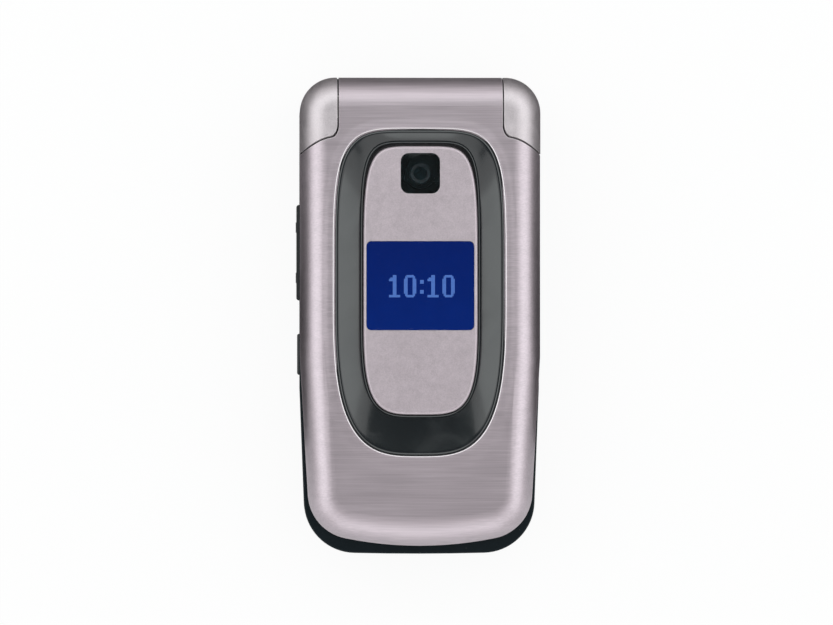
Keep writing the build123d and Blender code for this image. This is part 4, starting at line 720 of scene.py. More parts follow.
def ring_rows():
    """Rows of the ring: outer wall, lip, channel, and the small bead at the foot of the island."""
    rows = [at_height(ring_curve, ring_wall_z), *grown_rows(ring_curve, ring_lip, ring_lip_z)]
    start_z = rows[-1][0][2]
    outer = grown(ring_curve, ring_lip[-1][0])
    inner = grown(foot_curve, channel_end_grow)
    depths = [channel_depth(normal) for normal in normals_of(ring_curve)]
    for step in range(1, channel_steps + 1):
        t = step / channel_steps
        fall = t * (1 + channel_hollow * (1 - t))
        spots = [near.lerp(far, t) for near, far in zip(outer, inner)]
        rows.append([(spot.x, spot.y, start_z - depth * fall) for spot, depth in zip(spots, depths)])
    foot_heights = [point[2] for point in rows[-1]]
    for grow, rise in foot_bead:
        bead = grown(foot_curve, grow)
        rows.append([(spot.x, spot.y, z + rise) for spot, z in zip(bead, foot_heights)])
    rows.append(at_height(grown(foot_curve, foot_bead[-1][0]), ring_floor_z))
    rows.append(at_height(grown(island_curve, -ring_floor_tuck), ring_floor_z))
    return rows


ring_piece = band("ring_channel", ring_rows(), closed=True)
smooth_by_angle(ring_piece, degrees=40)
place_piece(ring_piece, "lid", ring_gloss)
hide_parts("trough_ring")

# %% [markdown]
# A raised rim runs round the ring. Its outer rows lie on the lid and follow it where the lid rounds off
# toward its edges: a ray shot down at the lid tells how far. The rim's inner edge is a narrow chamfer, cut
# bright after the brushing, that catches the lamps as one thin line. Its metal is paler than the lid's:
# partly bright cut metal, partly a painted highlight that makes the thin line stand out.

# %% Seal, rim and bright edge round the ring
seal_profile = [(0.22, 22.55), (-0.02, 22.62)]
rim_profile = [(1.00, 0.002), (0.90, 0.006), (0.78, 0.020), (0.64, 0.048), (0.50, 0.074), (0.36, 0.088)]
rim_crest = [(0.54, 0.106), (0.45, 0.122), (0.39, 0.124)]
rim_chamfer = [(0.39, 0.124), (0.36, 0.112), (0.24, 0.050), (0.20, 0.010), (0.19, -0.05), (0.19, -0.32)]
rim_reach = 2.4
rim_chin_reach = 1.5
rim_chin_gain = 2.0
rim_flat_share = 0.36
lid_top_z = 22.85
seal = band("ring_seal", grown_rows(ring_curve, seal_profile, 0.0))
place_piece(seal, "lid", rubber_dark)


def lid_drop(x, y):
    """How far the lid's outside lies under its flat top at a place, which is more on its round edges."""
    above = mm(x, y, lid_top_z + 1.0)
    hit, spot = nodes["lid_outer_shell"].ray_cast(above, (0.0, 0.0, -1.0))[:2]
    return max(0.0, lid_top_z - spot.z / MM) if hit else 0.0


def rim_rows():
    """Rows of the rim, from its outer edge on the lid to its crest over the ring."""
    normals = normals_of(ring_curve)
    chin_shares = [min(1.0, max(0.0, -rim_chin_gain * normal.y)) for normal in normals]
    reaches = [normal * (rim_reach + rim_chin_reach * share) for normal, share in zip(normals, chin_shares)]
    drops = [lid_drop(*(spot + reach)) for spot, reach in zip(ring_curve, reaches)]
    print("rim follows the lid down by", round(max(drops), 3), "mm at most")
    rows = []
    for share, rise in rim_profile:
        bend = max(0.0, (share - rim_flat_share) / (1 - rim_flat_share)) ** 2
        row = []
        for spot, reach, drop in zip(ring_curve, reaches, drops):
            outside = spot + reach * share
            row.append((outside.x, outside.y, lid_top_z + rise - drop * bend))
        rows.append(row)
    return rows + grown_rows(ring_curve, rim_crest, lid_top_z)


# the chamfer's metal is paler than the lid's, partly bright cut metal and partly a painted highlight
cut_edge_and_painted_highlight = finish_material(
    "cut_edge_and_painted_highlight", (0.64, 0.60, 0.62), roughness=0.34, metallic=1.0, grain_per_mm=8.0, bump=0.1,
    depth=0.004, tint=0.05, smudge=0.05,
)
rim_piece = band("ring_rim", rim_rows())
chamfer_piece = band("ring_chamfer", grown_rows(ring_curve, rim_chamfer, lid_top_z))
for piece, material in ((rim_piece, rim_metal), (chamfer_piece, cut_edge_and_painted_highlight)):
    smooth_by_angle(piece, degrees=50)
    place_piece(piece, "lid", material)

# %% Rounded plates and holes
def rounded_outline(low, high, inset, corner, z, segments):
    """Points round a rectangle with round corners, at one height."""
    x0, x1, y0, y1 = low.x + inset, high.x - inset, low.y + inset, high.y - inset
    corners = ((x1, y1, -1, -1), (x0, y1, 1, -1), (x0, y0, 1, 1), (x1, y0, -1, 1))
    outline = []
    for quarter, (x, y, into_x, into_y) in enumerate(corners):
        for step in range(segments + 1):
            angle = math.pi / 2 * (quarter + step / segments)
            across, up = corner * math.cos(angle), corner * math.sin(angle)
            outline.append((x + into_x * corner + across, y + into_y * corner + up, z))
    return outline


def soft_profile(radius, top_z, steps):
    """Pairs of inset and height up an edge that is rounded over a quarter circle."""
    angles = [math.pi / 2 * step / max(steps, 1) for step in range(steps + 1)]
    return [(radius * (1 - math.cos(angle)), top_z - radius * (1 - math.sin(angle))) for angle in angles]


def rounded_plate(name, low, high, corner, soft_edge):
    """A closed plate with round corners; the upper rim steps in over a quarter circle."""
    profile = [(0.0, low.z), *soft_profile(soft_edge, high.z, 3 if soft_edge else 0)]
    rows = [rounded_outline(low, high, inset, corner - inset, z, segments=6) for inset, z in profile]
    return band(name, rows, cap=True)


def cut(piece, cutters):
    """Cuts closed shapes out of a piece and removes them."""
    for cutter in cutters:
        modifier = piece.modifiers.new("cut", "BOOLEAN")
        modifier.operation = "DIFFERENCE"
        modifier.solver = "EXACT"
        modifier.object = cutter
    cut_mesh = worked_out(piece)
    piece.modifiers.clear()
    piece.data = cut_mesh
    for cutter in cutters:
        bpy.data.objects.remove(cutter)


# %% Island
island_top_z = 22.9
island_edge = 0.5
island_rim_tuck = 0.15
island_wall = (20.8, 21.9)
island_holes = (20.0, 23.4)
hole_spare = Vector((0.04, 0.04, 0.0))
window_corners = {"outer_display_window": 1.0, "camera_window": 1.6}


def island_rows():
    """Rows of the island: a straight wall, a rounded edge and the flat top."""
    rows = [at_height(island_curve, z) for z in island_wall]
    for inset, z in soft_profile(island_edge, island_top_z, steps=5):
        rows.append(at_height(grown(island_curve, -inset), z))
    return rows + [at_height(grown(island_curve, -island_edge - island_rim_tuck), island_top_z)]


def window_hole(node, corner):
    """A cutter that is a little wider than a window and goes right through the island."""
    low, high = box_mm(node)
    low, high = low - hole_spare, high + hole_spare
    low.z, high.z = island_holes
    return rounded_plate(node + "_hole", low, high, corner, soft_edge=0.0)


island_piece = band("island_shell", island_rows(), cap=True)
cut(island_piece, [window_hole(node, corner) for node, corner in window_corners.items()])
smooth_by_angle(island_piece)
place_piece(island_piece, "lid", island_paint)
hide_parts("display_island")

# %% [markdown]
# Two pieces start from the solid model's own mesh. The shoulders are drawn a hair smaller toward their
# seams, so that the seam shows as the dark line it is. The flexible cable is cut into short lengths along
# the hinge line.

# %% Shoulders and flexible cable
seam_widening = 0.14
for node, outer_side in (("shoulder_left", 0), ("shoulder_right", 1)):
    box = box_mm(node)
    size = box[1] - box[0]
    outer_x, back_y = mm(box[outer_side].x), mm(box[1].y)
    piece = new_object(node + "_skin", nodes[node].data.copy())
    for vertex in piece.data.vertices:
        vertex.co.x = outer_x + (vertex.co.x - outer_x) * (1 - seam_widening / size.x)
        vertex.co.y = back_y + (vertex.co.y - back_y) * (1 - seam_widening / size.y)
    place_piece(piece, "base", shoulder_paint)
    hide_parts(node)

flex_cuts = range(9, 18)
flex_piece = new_object("flex_cable_bending", nodes["flex_cable"].data.copy())
flex_mesh = bmesh.new()
flex_mesh.from_mesh(flex_piece.data)
for cut_x in flex_cuts:
    everything = flex_mesh.verts[:] + flex_mesh.edges[:] + flex_mesh.faces[:]
    bmesh.ops.bisect_plane(flex_mesh, geom=everything, plane_co=mm(cut_x, 0, 0), plane_no=(1, 0, 0))
flex_mesh.to_mesh(flex_piece.data)
flex_mesh.free()
flex_piece.data.materials.clear()
flex_piece.data.materials.append(flex_film)
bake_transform(flex_piece)
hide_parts("flex_cable")
print("flex cable", len(flex_piece.data.polygons), "faces")

# %% [markdown]
# The outer display is a small blue panel behind the window. Its clock is made of square dots on a fixed
# grid. Each sign is a few blocks of dots, and a tree puts one tiny tile on every dot.

# %% Lit dots tree
def lit_dots_tree():
    """A square tile on every incoming point."""
    inputs = [("Pitch", FLOAT, 0.0002), ("Tile share", FLOAT, 0.93)]
    tree, given, result = geometry_tree("lit_dots", inputs)
    size = math_node(tree, "MULTIPLY", given["Pitch"], given["Tile share"])
    tile = add_node(tree, "GeometryNodeMeshGrid", size, size, 2, 2)
    dots = given["Geometry"]
    tiles = add_node(tree, "GeometryNodeInstanceOnPoints", points=dots, instance=tile)
    finish_tree(tree, given, result, tiles)
    return tree


lit_dots = lit_dots_tree()
sign_gap = 3
sign_rows = 18
tile_share = 0.93
zero_sides = [(0, 3, 2, 14), (7, 3, 9, 14), (2, 0, 7, 1), (2, 16, 7, 17)]
zero_corners = [(1, 1, 2, 2), (7, 1, 8, 2), (1, 15, 2, 16), (7, 15, 8, 16)]
# each sign is its width in dots and its blocks, from the first to the last dot across and up
sign_blocks = {
    "1": (9, [(3, 0, 5, 17), (0, 0, 8, 1), (1, 13, 2, 15), (0, 13, 0, 14)]),
    "0": (10, zero_sides + zero_corners),
    ":": (3, [(0, 3, 2, 5), (0, 11, 2, 13)]),
}


def sign_dots(words):
    """The dots (column, row) of some signs side by side, and the number of columns."""
    dots = set()
    column = 0
    for sign in words:
        width, blocks = sign_blocks[sign]
        for x0, y0, x1, y1 in blocks:
            dots |= {(column + x, y) for x in range(x0, x1 + 1) for y in range(y0, y1 + 1)}
        column += width + sign_gap
    return sorted(dots), column - sign_gap


def lit_signs(name, words, centre, z, pitch, material, facing=1):
    """Signs of lit dots on the lid, centred on a point; facing -1 is for a display that looks down."""
    dots, columns = sign_dots(words)
    points = []
    for x, y in dots:
        across = (x - (columns - 1) / 2) * pitch
        up = (y - (sign_rows - 1) / 2) * pitch * facing
        points.append((centre[0] + across, centre[1] + up, z))
    piece = mesh_object(name, points)
    grow_mesh(piece, lit_dots, {"Pitch": mm(pitch), "Tile share": tile_share, "Material": material})
    if facing < 0:
        piece.data.flip_normals()
    place_piece(piece, "lid")


# %% Display panels
def panel_material(name, deep, light, strength, span):
    """A back-lit panel that changes from one colour to another over a span of Y, with a faint grain."""
    made, tree, shader = new_material(name)
    shader.inputs["Roughness"].default_value = 0.5
    shader.inputs["Specular IOR Level"].default_value = 0.0
    shader.inputs["Base Color"].default_value = (0.0, 0.0, 0.0, 1.0)
    shader.inputs["Emission Strength"].default_value = strength
    place = object_place(tree)
    up = add_node(tree, "ShaderNodeSeparateXYZ", place).outputs["Y"]
    share = add_node(tree, "ShaderNodeMapRange", up, from_min=mm(span[0]), from_max=mm(span[1]))
    glow = mix_colors(tree, share, deep, light)
    cells = add_node(tree, "ShaderNodeTexNoise", vector=place, scale=400.0, detail=2.0)
    uneven = math_node(tree, "ADD", math_node(tree, "MULTIPLY", cells, 0.16), 0.92)
    scaled = add_node(tree, "ShaderNodeVectorMath", glow, operation="SCALE", scale=uneven)
    feed(tree, shader.inputs["Emission Color"], scaled)
    return made


def glow_material(name, color, strength):
    """Lit dots: the liquid crystal lets more light through here, a little unevenly."""
    deep = tuple(part * 0.94 for part in color)
    return panel_material(name, deep, color, strength, span=(-20, 20))


def rounded_panel(name, node, z, inset, corner):
    """A thin flat panel with round corners that fills a node's outline, less an inset."""
    outline = rounded_outline(*box_mm(node), inset, corner, z, segments=5)
    return mesh_object(name, outline, [tuple(range(len(outline)))])


print_gap = 0.02
outer_panel_z = box_mm("outer_display_window")[0].z + print_gap
outer_blue = panel_material(
    "outer_display_light", (0.0, 0.0125, 0.135), (0.0, 0.017, 0.165), strength=1.0, span=(14, -3)
)
outer_panel = rounded_panel(
    "outer_display_panel", "outer_display_window", outer_panel_z, inset=0.1, corner=0.9
)
place_piece(outer_panel, "lid", outer_blue)

outer_dots = glow_material("outer_display_dots", (0.095, 0.21, 0.60), 1.0)
outer_middle = middle_mm("outer_display_window")
clock_centre = (outer_middle.x + 0.3, outer_middle.y - 0.1)
clock_z = outer_panel_z + print_gap
outer_pitch = 0.238
lit_signs("outer_display_clock", "10:10", clock_centre, clock_z, outer_pitch, outer_dots)

# %% [markdown]
# The clear windows over the display and the camera are plates with a softened upper edge. The solid
# model's windows lie right on their ledges, so these start a hair higher and leave room for what is
# under them.

# %% Window glass
window_lift = Vector((0.0, 0.0, 0.05))
window_edge = 0.12


def window_glass(name, node):
    """A window's plate, lifted off its ledge."""
    low, high = box_mm(node)
    piece = rounded_plate(name, low + window_lift, high, window_corners[node], window_edge)
    smooth_by_angle(piece, degrees=25)
    place_piece(piece, "lid", display_window)
    return piece


outer_glass = window_glass("outer_display_glass", "outer_display_window")
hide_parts("outer_display_window")

# %% [markdown]
# Behind the camera window sits a tiny fixed lens. Turned parts like its dome and its stepped black rings
# are a profile spun round an axis, so one helper makes them all from (radius, height) pairs.

# %% Turned parts
def turned(name, profile, centre, segments=48, along_y=False):
    """Spins (radius, height) pairs round an axis through a point: Z, or Y with the height toward -Y."""
    x, y, z = centre
    vertices = []
    rings = []
    for radius, height in profile:
        count = segments if radius > 0 else 1
        rings.append([len(vertices) + k % count for k in range(segments)])
        for k in range(count):
            angle = 2 * math.pi * k / segments
            across, up = radius * math.cos(angle), radius * math.sin(angle)
            vertices.append((x + across, y - height, z + up) if along_y else (x + across, y + up, z + height))
    faces = []
    for lower, upper in zip(rings, rings[1:]):
        for k in range(segments):
            after = (k + 1) % segments
            corners = [lower[k], lower[after], upper[after], upper[k]]
            faces.append(tuple(dict.fromkeys(corners)))
    made = mesh_object(name, vertices, faces)
    smooth_by_angle(made)
    return made


# %% Camera lens
lens_glass = finish_material(
    "lens_glass", (0.003, 0.011, 0.013), roughness=0.1, bump=0.03, depth=0.002, tint=0.2, specular=0.3
)


def lens_plastic(name, color, roughness, specular):
    """Black lens mouldings with a very fine grain."""
    return finish_material(
        name, color, roughness=roughness, grain_per_mm=12.0, bump=0.15, depth=0.004, tint=0.3,
        specular=specular,
    )


dress(lens_plastic("lens_black", (0.0015, 0.0055, 0.006), roughness=0.32, specular=0.12), "camera_module")
lens_ring = lens_plastic("lens_ring", (0.002, 0.010, 0.012), roughness=0.3, specular=0.3)

dome_radius = 1.18
dome_floor = -0.60
dome_edge = -0.50
dome_rise = 0.05
dome_steps = 5
dome_profile = [(0.0, dome_floor), (dome_radius, dome_floor), (dome_radius, dome_edge)]
for step in range(1, dome_steps + 1):
    share = 1 - step / dome_steps
    dome_profile.append((dome_radius * share, dome_edge + dome_rise * (1 - share**2)))
collar_profile = [(2.08, -0.36), (2.08, -0.10), (1.98, -0.06), (1.86, -0.08), (1.80, -0.16), (1.66, -0.18)]
collar_profile += [(1.58, -0.24), (1.44, -0.26), (1.38, -0.32), (1.22, -0.34), (1.22, -0.36)]
camera_middle = middle_mm("camera_window")
camera_centre = (camera_middle.x, camera_middle.y, box_mm("camera_window")[0].z)
lens = turned("camera_lens", dome_profile, camera_centre)
place_piece(lens, "lid", lens_glass)
collar = turned("camera_lens_collar", collar_profile, camera_centre)
place_piece(collar, "lid", lens_ring)
camera_glass = window_glass("camera_glass", "camera_window")
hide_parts("camera_window")

# %% [markdown]
# Printed marks, icons and bars are flat outlines at one height. The big display inside the lid is dark
# glass with a plain home picture: a blue gradient, a clock made of the same square dots, a row of signal
# bars and a battery mark. It faces down while the phone is closed, so its drawing is mirrored along Y and
# its faces are turned over.

# %% Flat shapes
def rectangle(x, y, width, height):
    """The corners of a rectangle from its lower left corner on."""
    return [(x, y), (x + width, y), (x + width, y + height), (x, y + height)]


def flat_shape(name, outlines, z, body, material):
    """Filled flat outlines of (x, y) points at one height."""
    vertices = []
    faces = []
    for outline in outlines:
        faces.append(tuple(range(len(vertices), len(vertices) + len(outline))))
        vertices += [(x, y, z) for x, y in outline]
    place_piece(mesh_object(name, vertices, faces), body, material)


# %% Inner display
inner_panel_gap = 0.06
inner_panel_z = box_mm("inner_display_module")[0].z - inner_panel_gap
inner_light = panel_material(
    "inner_display_light", (0.012, 0.06, 0.24), (0.16, 0.42, 0.72), strength=0.8, span=(18, -22)
)
inner_panel = rounded_panel(
    "inner_display_panel", "inner_display_window", inner_panel_z, inset=1.8, corner=0.4
)
inner_panel.data.flip_normals()
place_piece(inner_panel, "lid", inner_light)

inner_white = glow_material("inner_display_dots", (0.85, 0.92, 1.0), 0.8)
inner_dots_z = inner_panel_z - print_gap
inner_clock = (0.0, middle_mm("inner_display_window").y - 6.0)
inner_pitch = 0.30
lit_signs(
    "inner_display_clock", "10:10", inner_clock, inner_dots_z, inner_pitch, inner_white,
    facing=-1,
)

status_y = -19.0
label_y = 14.4
signal = [(-13.0 + 1.1 * k, status_y - 0.8 * (k + 1), 0.8, 0.8 * (k + 1)) for k in range(4)]
charge = [(8.0 + 1.25 * k, status_y - 2.0, 1.0, 1.6) for k in range(3)]
charge += [(7.6, status_y + rise, 4.4, 0.2) for rise in (-2.4, -0.2)]
charge += [(x, status_y - 2.2, 0.2, 2.0) for x in (7.6, 11.8)]
charge += [(12.1, status_y - 1.7, 0.4, 1.0)]
soft_labels = [(-12.6, label_y, 6.2, 0.35), (6.4, label_y, 6.2, 0.35)]
marks = [rectangle(*mark)[::-1] for mark in signal + charge + soft_labels]
flat_shape("inner_display_marks", marks, inner_dots_z, "lid", inner_white)

# %% [markdown]
# Key legends are printed, so they are flat shapes that float a hair above each key and ride on that
# key's own body. Digits come from Blender's built-in lettering; the handsets, arrows and dashes are
# drawn from a few points each.

# %% Printed legends
def ink(name, color):
    """Matte printed ink with a slightly worn, uneven coverage."""
    return finish_material(name, color, roughness=0.55, grain_per_mm=7.0, depth=0.004, tint=0.18)


dark_ink = ink("dark_ink", (0.020, 0.024, 0.035))
green_ink = ink("green_ink", (0.02, 0.30, 0.06))
red_ink = ink("red_ink", (0.50, 0.02, 0.02))
print_lift = 0.012
digit_size = 4.4
digit_bold = 0.06


def key_top(name):
    """Middle and height of a key's upper face, plus the hair that print floats above it."""
    middle = middle_mm(name)
    return middle.x, middle.y, box_mm(name)[1].z + print_lift


for name in key_names:
    x, y, z = key_top(name)
    sign = {"star": "*", "hash": "#"}.get(name[4:], name[4:])
    legend = text_mesh(name + "_legend", sign, digit_size, (x, y), z, digit_bold)
    place_piece(legend, name + "_cap", dark_ink)


# %% Icons on the function keys
def handset(x, y, span):
    """A telephone handset as three outlines: an arched bar and its two ends."""
    arch = []
    for first_angle, turn, reach in ((150, -15, 0.62), (30, 15, 0.40)):
        for step in range(9):
            angle = math.radians(first_angle + turn * step)
            across, up = math.cos(angle) * 1.15, math.sin(angle)
            arch.append((x + span * reach * across, y + span * (reach * up - 0.42)))
    ends = []
    for side in (-1, 1):
        end_x, end_y = x + side * span * 0.60, y - span * 0.22
        ends.append(rectangle(end_x - span * 0.22, end_y - span * 0.16, span * 0.44, span * 0.32))
    return [arch[::-1], *ends]


handset_inks = {"call_key": green_ink, "end_key": red_ink}
handset_span = 2.0
dash_size = (3.0, 0.4)
for name, colour in handset_inks.items():
    x, y, z = key_top(name)
    flat_shape(name + "_legend", handset(x, y, handset_span), z, name + "_cap", colour)
for name in ("soft_key_left", "soft_key_right"):
    x, y, z = key_top(name)
    dash = rectangle(x - dash_size[0] / 2, y - dash_size[1] / 2, *dash_size)
    flat_shape(name + "_legend", [dash], z, name + "_cap", dark_ink)

# %% Arrows round the scroll ring and the mark on the select key
arrow_points = [Vector(point) for point in ((-0.8, 5.5), (0.8, 5.5), (0.0, 6.5))]
arrow_depth = 0.21
ring_middle = middle_mm("scroll_ring").xy
arrows = []
for quarter in range(4):
    turn = Matrix.Rotation(math.pi / 2 * quarter, 2)
    arrows.append([tuple(ring_middle + turn @ point) for point in arrow_points])
arrow_z = box_mm("scroll_ring")[1].z - arrow_depth
flat_shape("scroll_ring_arrows", arrows, arrow_z, "nav_ring", dark_ink)

mark_size = 1.4
x, y, z = key_top("select_key")
select_mark = rectangle(x - mark_size / 2, y - mark_size / 2, mark_size, mark_size)
flat_shape("select_key_mark", [select_mark], z, "select", dark_ink)

# %% [markdown]
# Dust guards behind the speaker and earpiece slots are cloth woven from fine threads. Straight threads
# that cross at two heights read as cloth at this size. The tree copies one thread along X and one along
# Y, so pitch, count and thickness are plain inputs.

# %% Dust guard tree
def point_along(tree, axis, distance, z=0.0):
    """A point of a tree at a distance along X (axis 0) or Y (axis 1), and at a height."""
    place = [0.0, 0.0, z]
    place[axis] = distance
    return add_node(tree, "ShaderNodeCombineXYZ", *place)


def copies_in_line(tree, piece, count, first, step):
    """Instances of a piece on evenly spaced points of a straight line."""
    line = add_node(tree, "GeometryNodeMeshLine", mode="OFFSET", count=count, start_location=first)
    feed(tree, line.inputs["Offset"], step)
    return add_node(tree, "GeometryNodeInstanceOnPoints", points=line, instance=piece)


def thread_set(tree, given, axis, along, across, z):
    """Copies of one thread that runs along an axis, side by side over the other one."""
    half = math_node(tree, "MULTIPLY", given[along], 0.5)
    first = point_along(tree, axis, math_node(tree, "MULTIPLY", half, -1.0), z)
    last = point_along(tree, axis, half, z)
    line = add_node(tree, "GeometryNodeCurvePrimitiveLine", start=first, end=last)
    radius, pitch = given["Thread radius"], given["Pitch"]
    ring = add_node(tree, "GeometryNodeCurvePrimitiveCircle", resolution=6, radius=radius)
    thread = add_node(tree, "GeometryNodeCurveToMesh", curve=line, profile_curve=ring, fill_caps=True)
    count = math_node(tree, "FLOOR", math_node(tree, "DIVIDE", given[across], pitch))
    span = math_node(tree, "MULTIPLY", math_node(tree, "SUBTRACT", count, 1.0), pitch)
    begin = point_along(tree, 1 - axis, math_node(tree, "MULTIPLY", span, -0.5))
    step = point_along(tree, 1 - axis, pitch)
    return copies_in_line(tree, thread, count, begin, step)


def dust_guard_tree():
    """Two crossing sets of straight round threads, centred on a point."""
    inputs = [("Centre", VECTOR, (0.0, 0.0, 0.0)), ("Width", FLOAT, 0.01), ("Height", FLOAT, 0.01)]
    inputs += [("Pitch", FLOAT, 0.0004), ("Thread radius", FLOAT, 0.00008)]
    tree, given, result = geometry_tree("dust_guard", inputs)
    cloth = add_node(tree, "GeometryNodeJoinGeometry")
    for axis, along, across, lift in ((0, "Width", "Height", 0.8), (1, "Height", "Width", -0.8)):
        z = math_node(tree, "MULTIPLY", given["Thread radius"], lift)
        feed(tree, cloth.inputs["Geometry"], thread_set(tree, given, axis, along, across, z))
    moved = add_node(tree, "GeometryNodeTransform", geometry=cloth, translation=given["Centre"])
    finish_tree(tree, given, result, moved)
    return tree


dust_guard = dust_guard_tree()
thread_pitch = 0.36
thread_radius = 0.075
thread_black = finish_material(
    "thread_black", (0.018, 0.018, 0.020), roughness=0.6, grain_per_mm=14.0, bump=0.3, depth=0.004,
    tint=0.25, dust=0.5,
)


def dust_cloth(name, centre, width, height, body):
    """A rectangle of cloth behind a grille."""
    piece = mesh_object(name, [centre])
    values = {"Centre": mm(*centre), "Width": mm(width), "Height": mm(height), "Pitch": mm(thread_pitch)}
    values |= {"Thread radius": mm(thread_radius), "Material": thread_black}
    grow_mesh(piece, dust_guard, values)
    place_piece(piece, body)


speaker_cloth_size = (9.4, 8.2)
speaker_cloth_rise = 0.2
speaker_middle = middle_mm("loudspeaker")
speaker_spot = (speaker_middle.x, speaker_middle.y, box_mm("loudspeaker")[0].z + speaker_cloth_rise)
dust_cloth("loudspeaker_cloth", speaker_spot, *speaker_cloth_size, "base")
earpiece_cloth_size = (8.2, 4.8)
earpiece_cloth_drop = 0.16
earpiece_spot = (0.0, middle_mm("earpiece").y, box_mm("earpiece")[0].z - earpiece_cloth_drop)
dust_cloth("earpiece_cloth", earpiece_spot, *earpiece_cloth_size, "lid")

# %% [markdown]
# Looking into the sockets at the chin, the first thing to catch the light is metal: a row of gold
# contacts on both sides of the connector's tongue, and the sleeve and pin of the charger socket. The
# contacts are one strip on every point of a line, so their number and pitch are two inputs of a tree.

# %% Contacts of the accessory connector
def contact_row_tree():
    """The same flat strip at every step of a straight line."""
    inputs = [("Count", INTEGER, 13), ("First", VECTOR, (0.0, 0.0, 0.0))]
    inputs += [("Step", VECTOR, (0.001, 0.0, 0.0)), ("Strip", VECTOR, (0.0004, 0.003, 0.0001))]
    tree, given, result = geometry_tree("contact_row", inputs)
    count, first, step, size = [given[name] for name in ("Count", "First", "Step", "Strip")]
    strip = add_node(tree, "GeometryNodeMeshCube", size)
    finish_tree(tree, given, result, copies_in_line(tree, strip, count, first, step))
    return tree


contact_row = contact_row_tree()
contact_count = 13
contact_pitch = 0.72
contact_strip = (0.38, 3.2, 0.05)
tongue_half_height = 0.3
tongue_inset = 0.62
tongue = middle_mm("accessory_connector")
first_x = tongue.x - contact_pitch * (contact_count - 1) / 2
contact_y = box_mm("accessory_connector")[0].y + tongue_inset + contact_strip[1] / 2
for side, side_name in ((-1, "lower"), (1, "upper")):
    contact_z = tongue.z + side * (tongue_half_height + contact_strip[2] / 2)
    row = mesh_object("connector_contacts_" + side_name, [(tongue.x, contact_y, contact_z)])
    values = {"Count": contact_count, "First": mm(first_x, contact_y, contact_z)}
    values |= {"Step": mm(contact_pitch, 0.0, 0.0), "Strip": mm(*contact_strip), "Material": gold_plate}
    grow_mesh(row, contact_row, values)
    place_piece(row, "base")

# %% Sleeve and pin of the charger socket
jack_z = 5.8
jack_face = (middle_mm("charger_jack").x, box_mm("charger_jack")[0].y, jack_z)
sleeve_profile = [(1.27, 0.0), (1.27, 0.04), (1.22, 0.09), (0.98, 0.09), (0.93, 0.04)]
sleeve_profile += [(0.93, -2.9), (1.0, -3.0)]
pin_profile = [(0.0, -5.9), (0.24, -5.9), (0.24, -1.3), (0.16, -1.12), (0.0, -1.06)]
for name, profile in (("jack_sleeve", sleeve_profile), ("jack_pin", pin_profile)):
    jack_part = turned(name, profile, jack_face, segments=32, along_y=True)
    place_piece(jack_part, "base", sheet_steel)

# %% [markdown]
# A product picture of something shiny is a picture of the room. The room here is a pale floor, a white
# world, and four soft boxes, one on each side of the phone. A dark card overhead keeps flat faces at mid
# grey. More dark cards low down at the left, at the right and behind the hinge draw the thin dark line that
# real studios put along the edges of silver things. The cards are seen by reflections only, so no view
# has them in it.

# %% Floor
def floor_material():
    """A pale floor: part glow, so that it looks white, and part plain paint that takes the soft shadow."""
    made, tree, paint = new_material("studio_floor")
    paint.inputs["Base Color"].default_value = (0.95, 0.95, 0.95, 1.0)
    paint.inputs["Roughness"].default_value = 0.8
    paint.inputs["Specular IOR Level"].default_value = 0.0
    glow = add_node(tree, "ShaderNodeEmission", (1.0, 1.0, 1.0, 1.0), 1.0)
    seen = add_node(tree, "ShaderNodeLightPath").outputs["Is Camera Ray"]
    both = add_node(tree, "ShaderNodeMixShader", math_node(tree, "MULTIPLY", seen, floor_glow), paint, glow)
    feed(tree, tree.nodes["Material Output"].inputs["Surface"], both)
    return made


def stage_plane(name, corners, material):
    """A flat stage object through the given corners, in millimetres."""
    made = mesh_object(name, corners, [tuple(range(len(corners)))])
    made.data.materials.append(material)
    made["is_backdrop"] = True
    print("stage", name)
    return made


floor_glow = 0.92
floor_half = 1500.0
floor_z = -0.05
floor_corners = [(x * floor_half, y * floor_half, floor_z) for x, y in ((-1, -1), (1, -1), (1, 1), (-1, 1))]
stage_plane("studio_floor", floor_corners, floor_material())


# %% Cards seen in reflections only
def reflection_card(name, corners, shade):
    """A card of one plain shade that only mirrors and gloss can see."""
    material, tree = new_material(name)[:2]
    glow = add_node(tree, "ShaderNodeEmission", (shade, shade, shade, 1.0), 1.0)
    feed(tree, tree.nodes["Material Output"].inputs["Surface"], glow)
    card = stage_plane(name, corners, material)
    card.visible_camera = False
    card.visible_diffuse = False
    card.visible_shadow = False


def floor_and_wall(name, near, far, shade):
    """A card on the floor between two lines, and a low wall on the far line."""
    (x0, y0), (x1, y1) = far
    lying = [(x, y, 0.0) for x, y in (*near, (x1, y1), (x0, y0))]
    wall = [(x0, y0, 0.0), (x1, y1, 0.0), (x1, y1, wall_height), (x0, y0, wall_height)]
    reflection_card(name + "_floor_card", lying, shade)
    reflection_card(name + "_wall_card", wall, shade)


overhead_z = 500.0
overhead_x = 190.0
overhead_ends = (-130.0, 260.0)
overhead_shade = 0.12
front, back = overhead_ends
overhead = [(-overhead_x, front), (-overhead_x, back), (overhead_x, back), (overhead_x, front)]
reflection_card("overhead_card", [(x, y, overhead_z) for x, y in overhead], overhead_shade)

wall_height = 52.0
side_card_near = 26.0
side_card_far = 260.0
side_card_ends = (-26.0, 240.0)
side_card_shade = 0.08
for side, name in ((-1, "left"), (1, "right")):
    near = [(side * side_card_near, y) for y in side_card_ends]
    far = [(side * side_card_far, y) for y in side_card_ends]
    floor_and_wall(name, near, far, side_card_shade)

hinge_card_near = 48.0
hinge_card_far = 300.0
hinge_card_ends = (-150.0, 150.0)
hinge_card_shade = 0.12
near = [(x, hinge_card_near) for x in hinge_card_ends]
far = [(x, hinge_card_far) for x in hinge_card_ends]
floor_and_wall("hinge", near, far, hinge_card_shade)

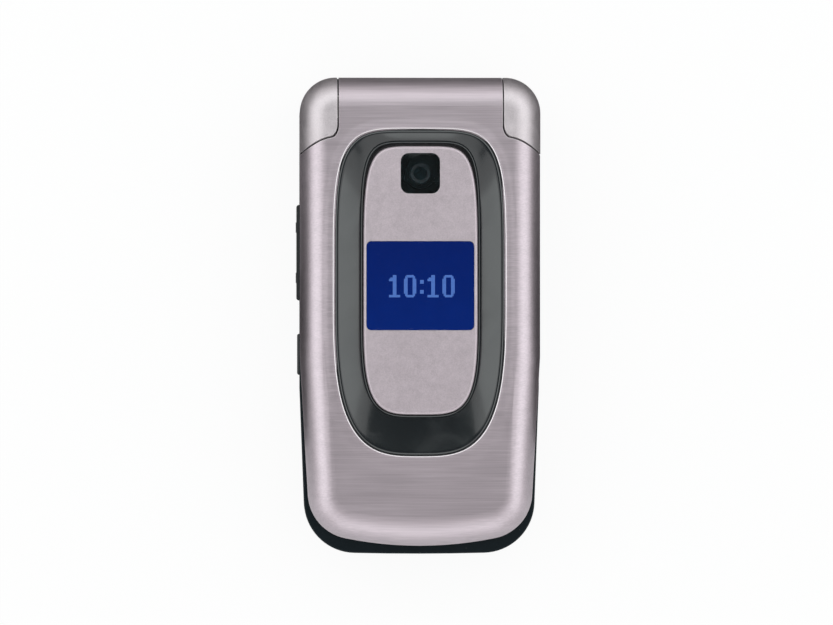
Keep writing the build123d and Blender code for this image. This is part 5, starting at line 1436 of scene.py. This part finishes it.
# %% World
world = bpy.data.worlds.new("studio")
bpy.context.scene.world = world
world.use_nodes = True
sky = world.node_tree
sky.nodes.clear()
rays = add_node(sky, "ShaderNodeLightPath").outputs
mirrored = math_node(sky, "MAXIMUM", rays["Is Glossy Ray"], rays["Is Transmission Ray"])
seen = math_node(sky, "MAXIMUM", rays["Is Camera Ray"], mirrored)
white, dim = (add_node(sky, "ShaderNodeBackground", (1.0, 1.0, 1.0, 1.0), power) for power in (1.0, 0.5))
add_node(sky, "ShaderNodeOutputWorld", add_node(sky, "ShaderNodeMixShader", seen, dim, white))

# %% Soft boxes
box_color = (0.93, 1.0, 0.99)


def soft_box(name, place, size, radiance, aim=(0, 0, 12)):
    """A rectangular lamp, aimed at a point; radiance 1 looks white in a mirror."""
    lamp = bpy.data.lights.new(name, "AREA")
    lamp.color = box_color
    lamp.shape = "RECTANGLE"
    lamp.size, lamp.size_y = mm(size[0]), mm(size[1])
    lamp.energy = radiance * math.pi * lamp.size * lamp.size_y
    made = new_object(name, lamp)
    made.location = mm(*place)
    made.rotation_euler = (mm(*aim) - made.location).to_track_quat("-Z", "Y").to_euler()
    print(name, round(lamp.energy, 3), "W")


side_box_size = (560, 240)
side_box_radiance = 0.92
soft_box("left_box", (-290, 20, 240), side_box_size, side_box_radiance)
soft_box("right_box", (290, 20, 240), side_box_size, side_box_radiance)
soft_box("hinge_box", (0, 265, 300), (460, 310), radiance=1.0, aim=(0, 240, 0))
soft_box("chin_box", (0, -330, 190), (420, 200), radiance=0.85)

# %% [markdown]
# The camera looks straight down on the closed phone from a metre away, turned a little to the left so
# that the side keys show. A long lens from far away keeps the sides of the phone parallel.

# %% Camera
picture_width_px = 833
pixels_per_mm = 5.16
camera_distance = 1000.0
camera_turn = math.radians(1.6)
aim_at = mm(-0.60, 0.65, 14.0)

camera_data = bpy.data.cameras.new("camera")
camera_data.sensor_width = 36.0
camera_data.lens = camera_data.sensor_width * camera_distance / (picture_width_px / pixels_per_mm)
camera_data.clip_start = 0.01
camera = new_object("camera", camera_data)
camera.location = aim_at + Vector((-math.sin(camera_turn), 0.0, math.cos(camera_turn))) * mm(camera_distance)
camera.rotation_euler = (0.0, -camera_turn, 0.0)
bpy.context.scene.camera = camera
bpy.context.scene.view_settings.view_transform = "Standard"
print("lens", round(camera_data.lens, 1), "mm")

# %% Sizes and finish
visual_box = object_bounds()
for label, low, high in zip("xyz", *visual_box):
    print(label, round(low / MM, 2), round(high / MM, 2))
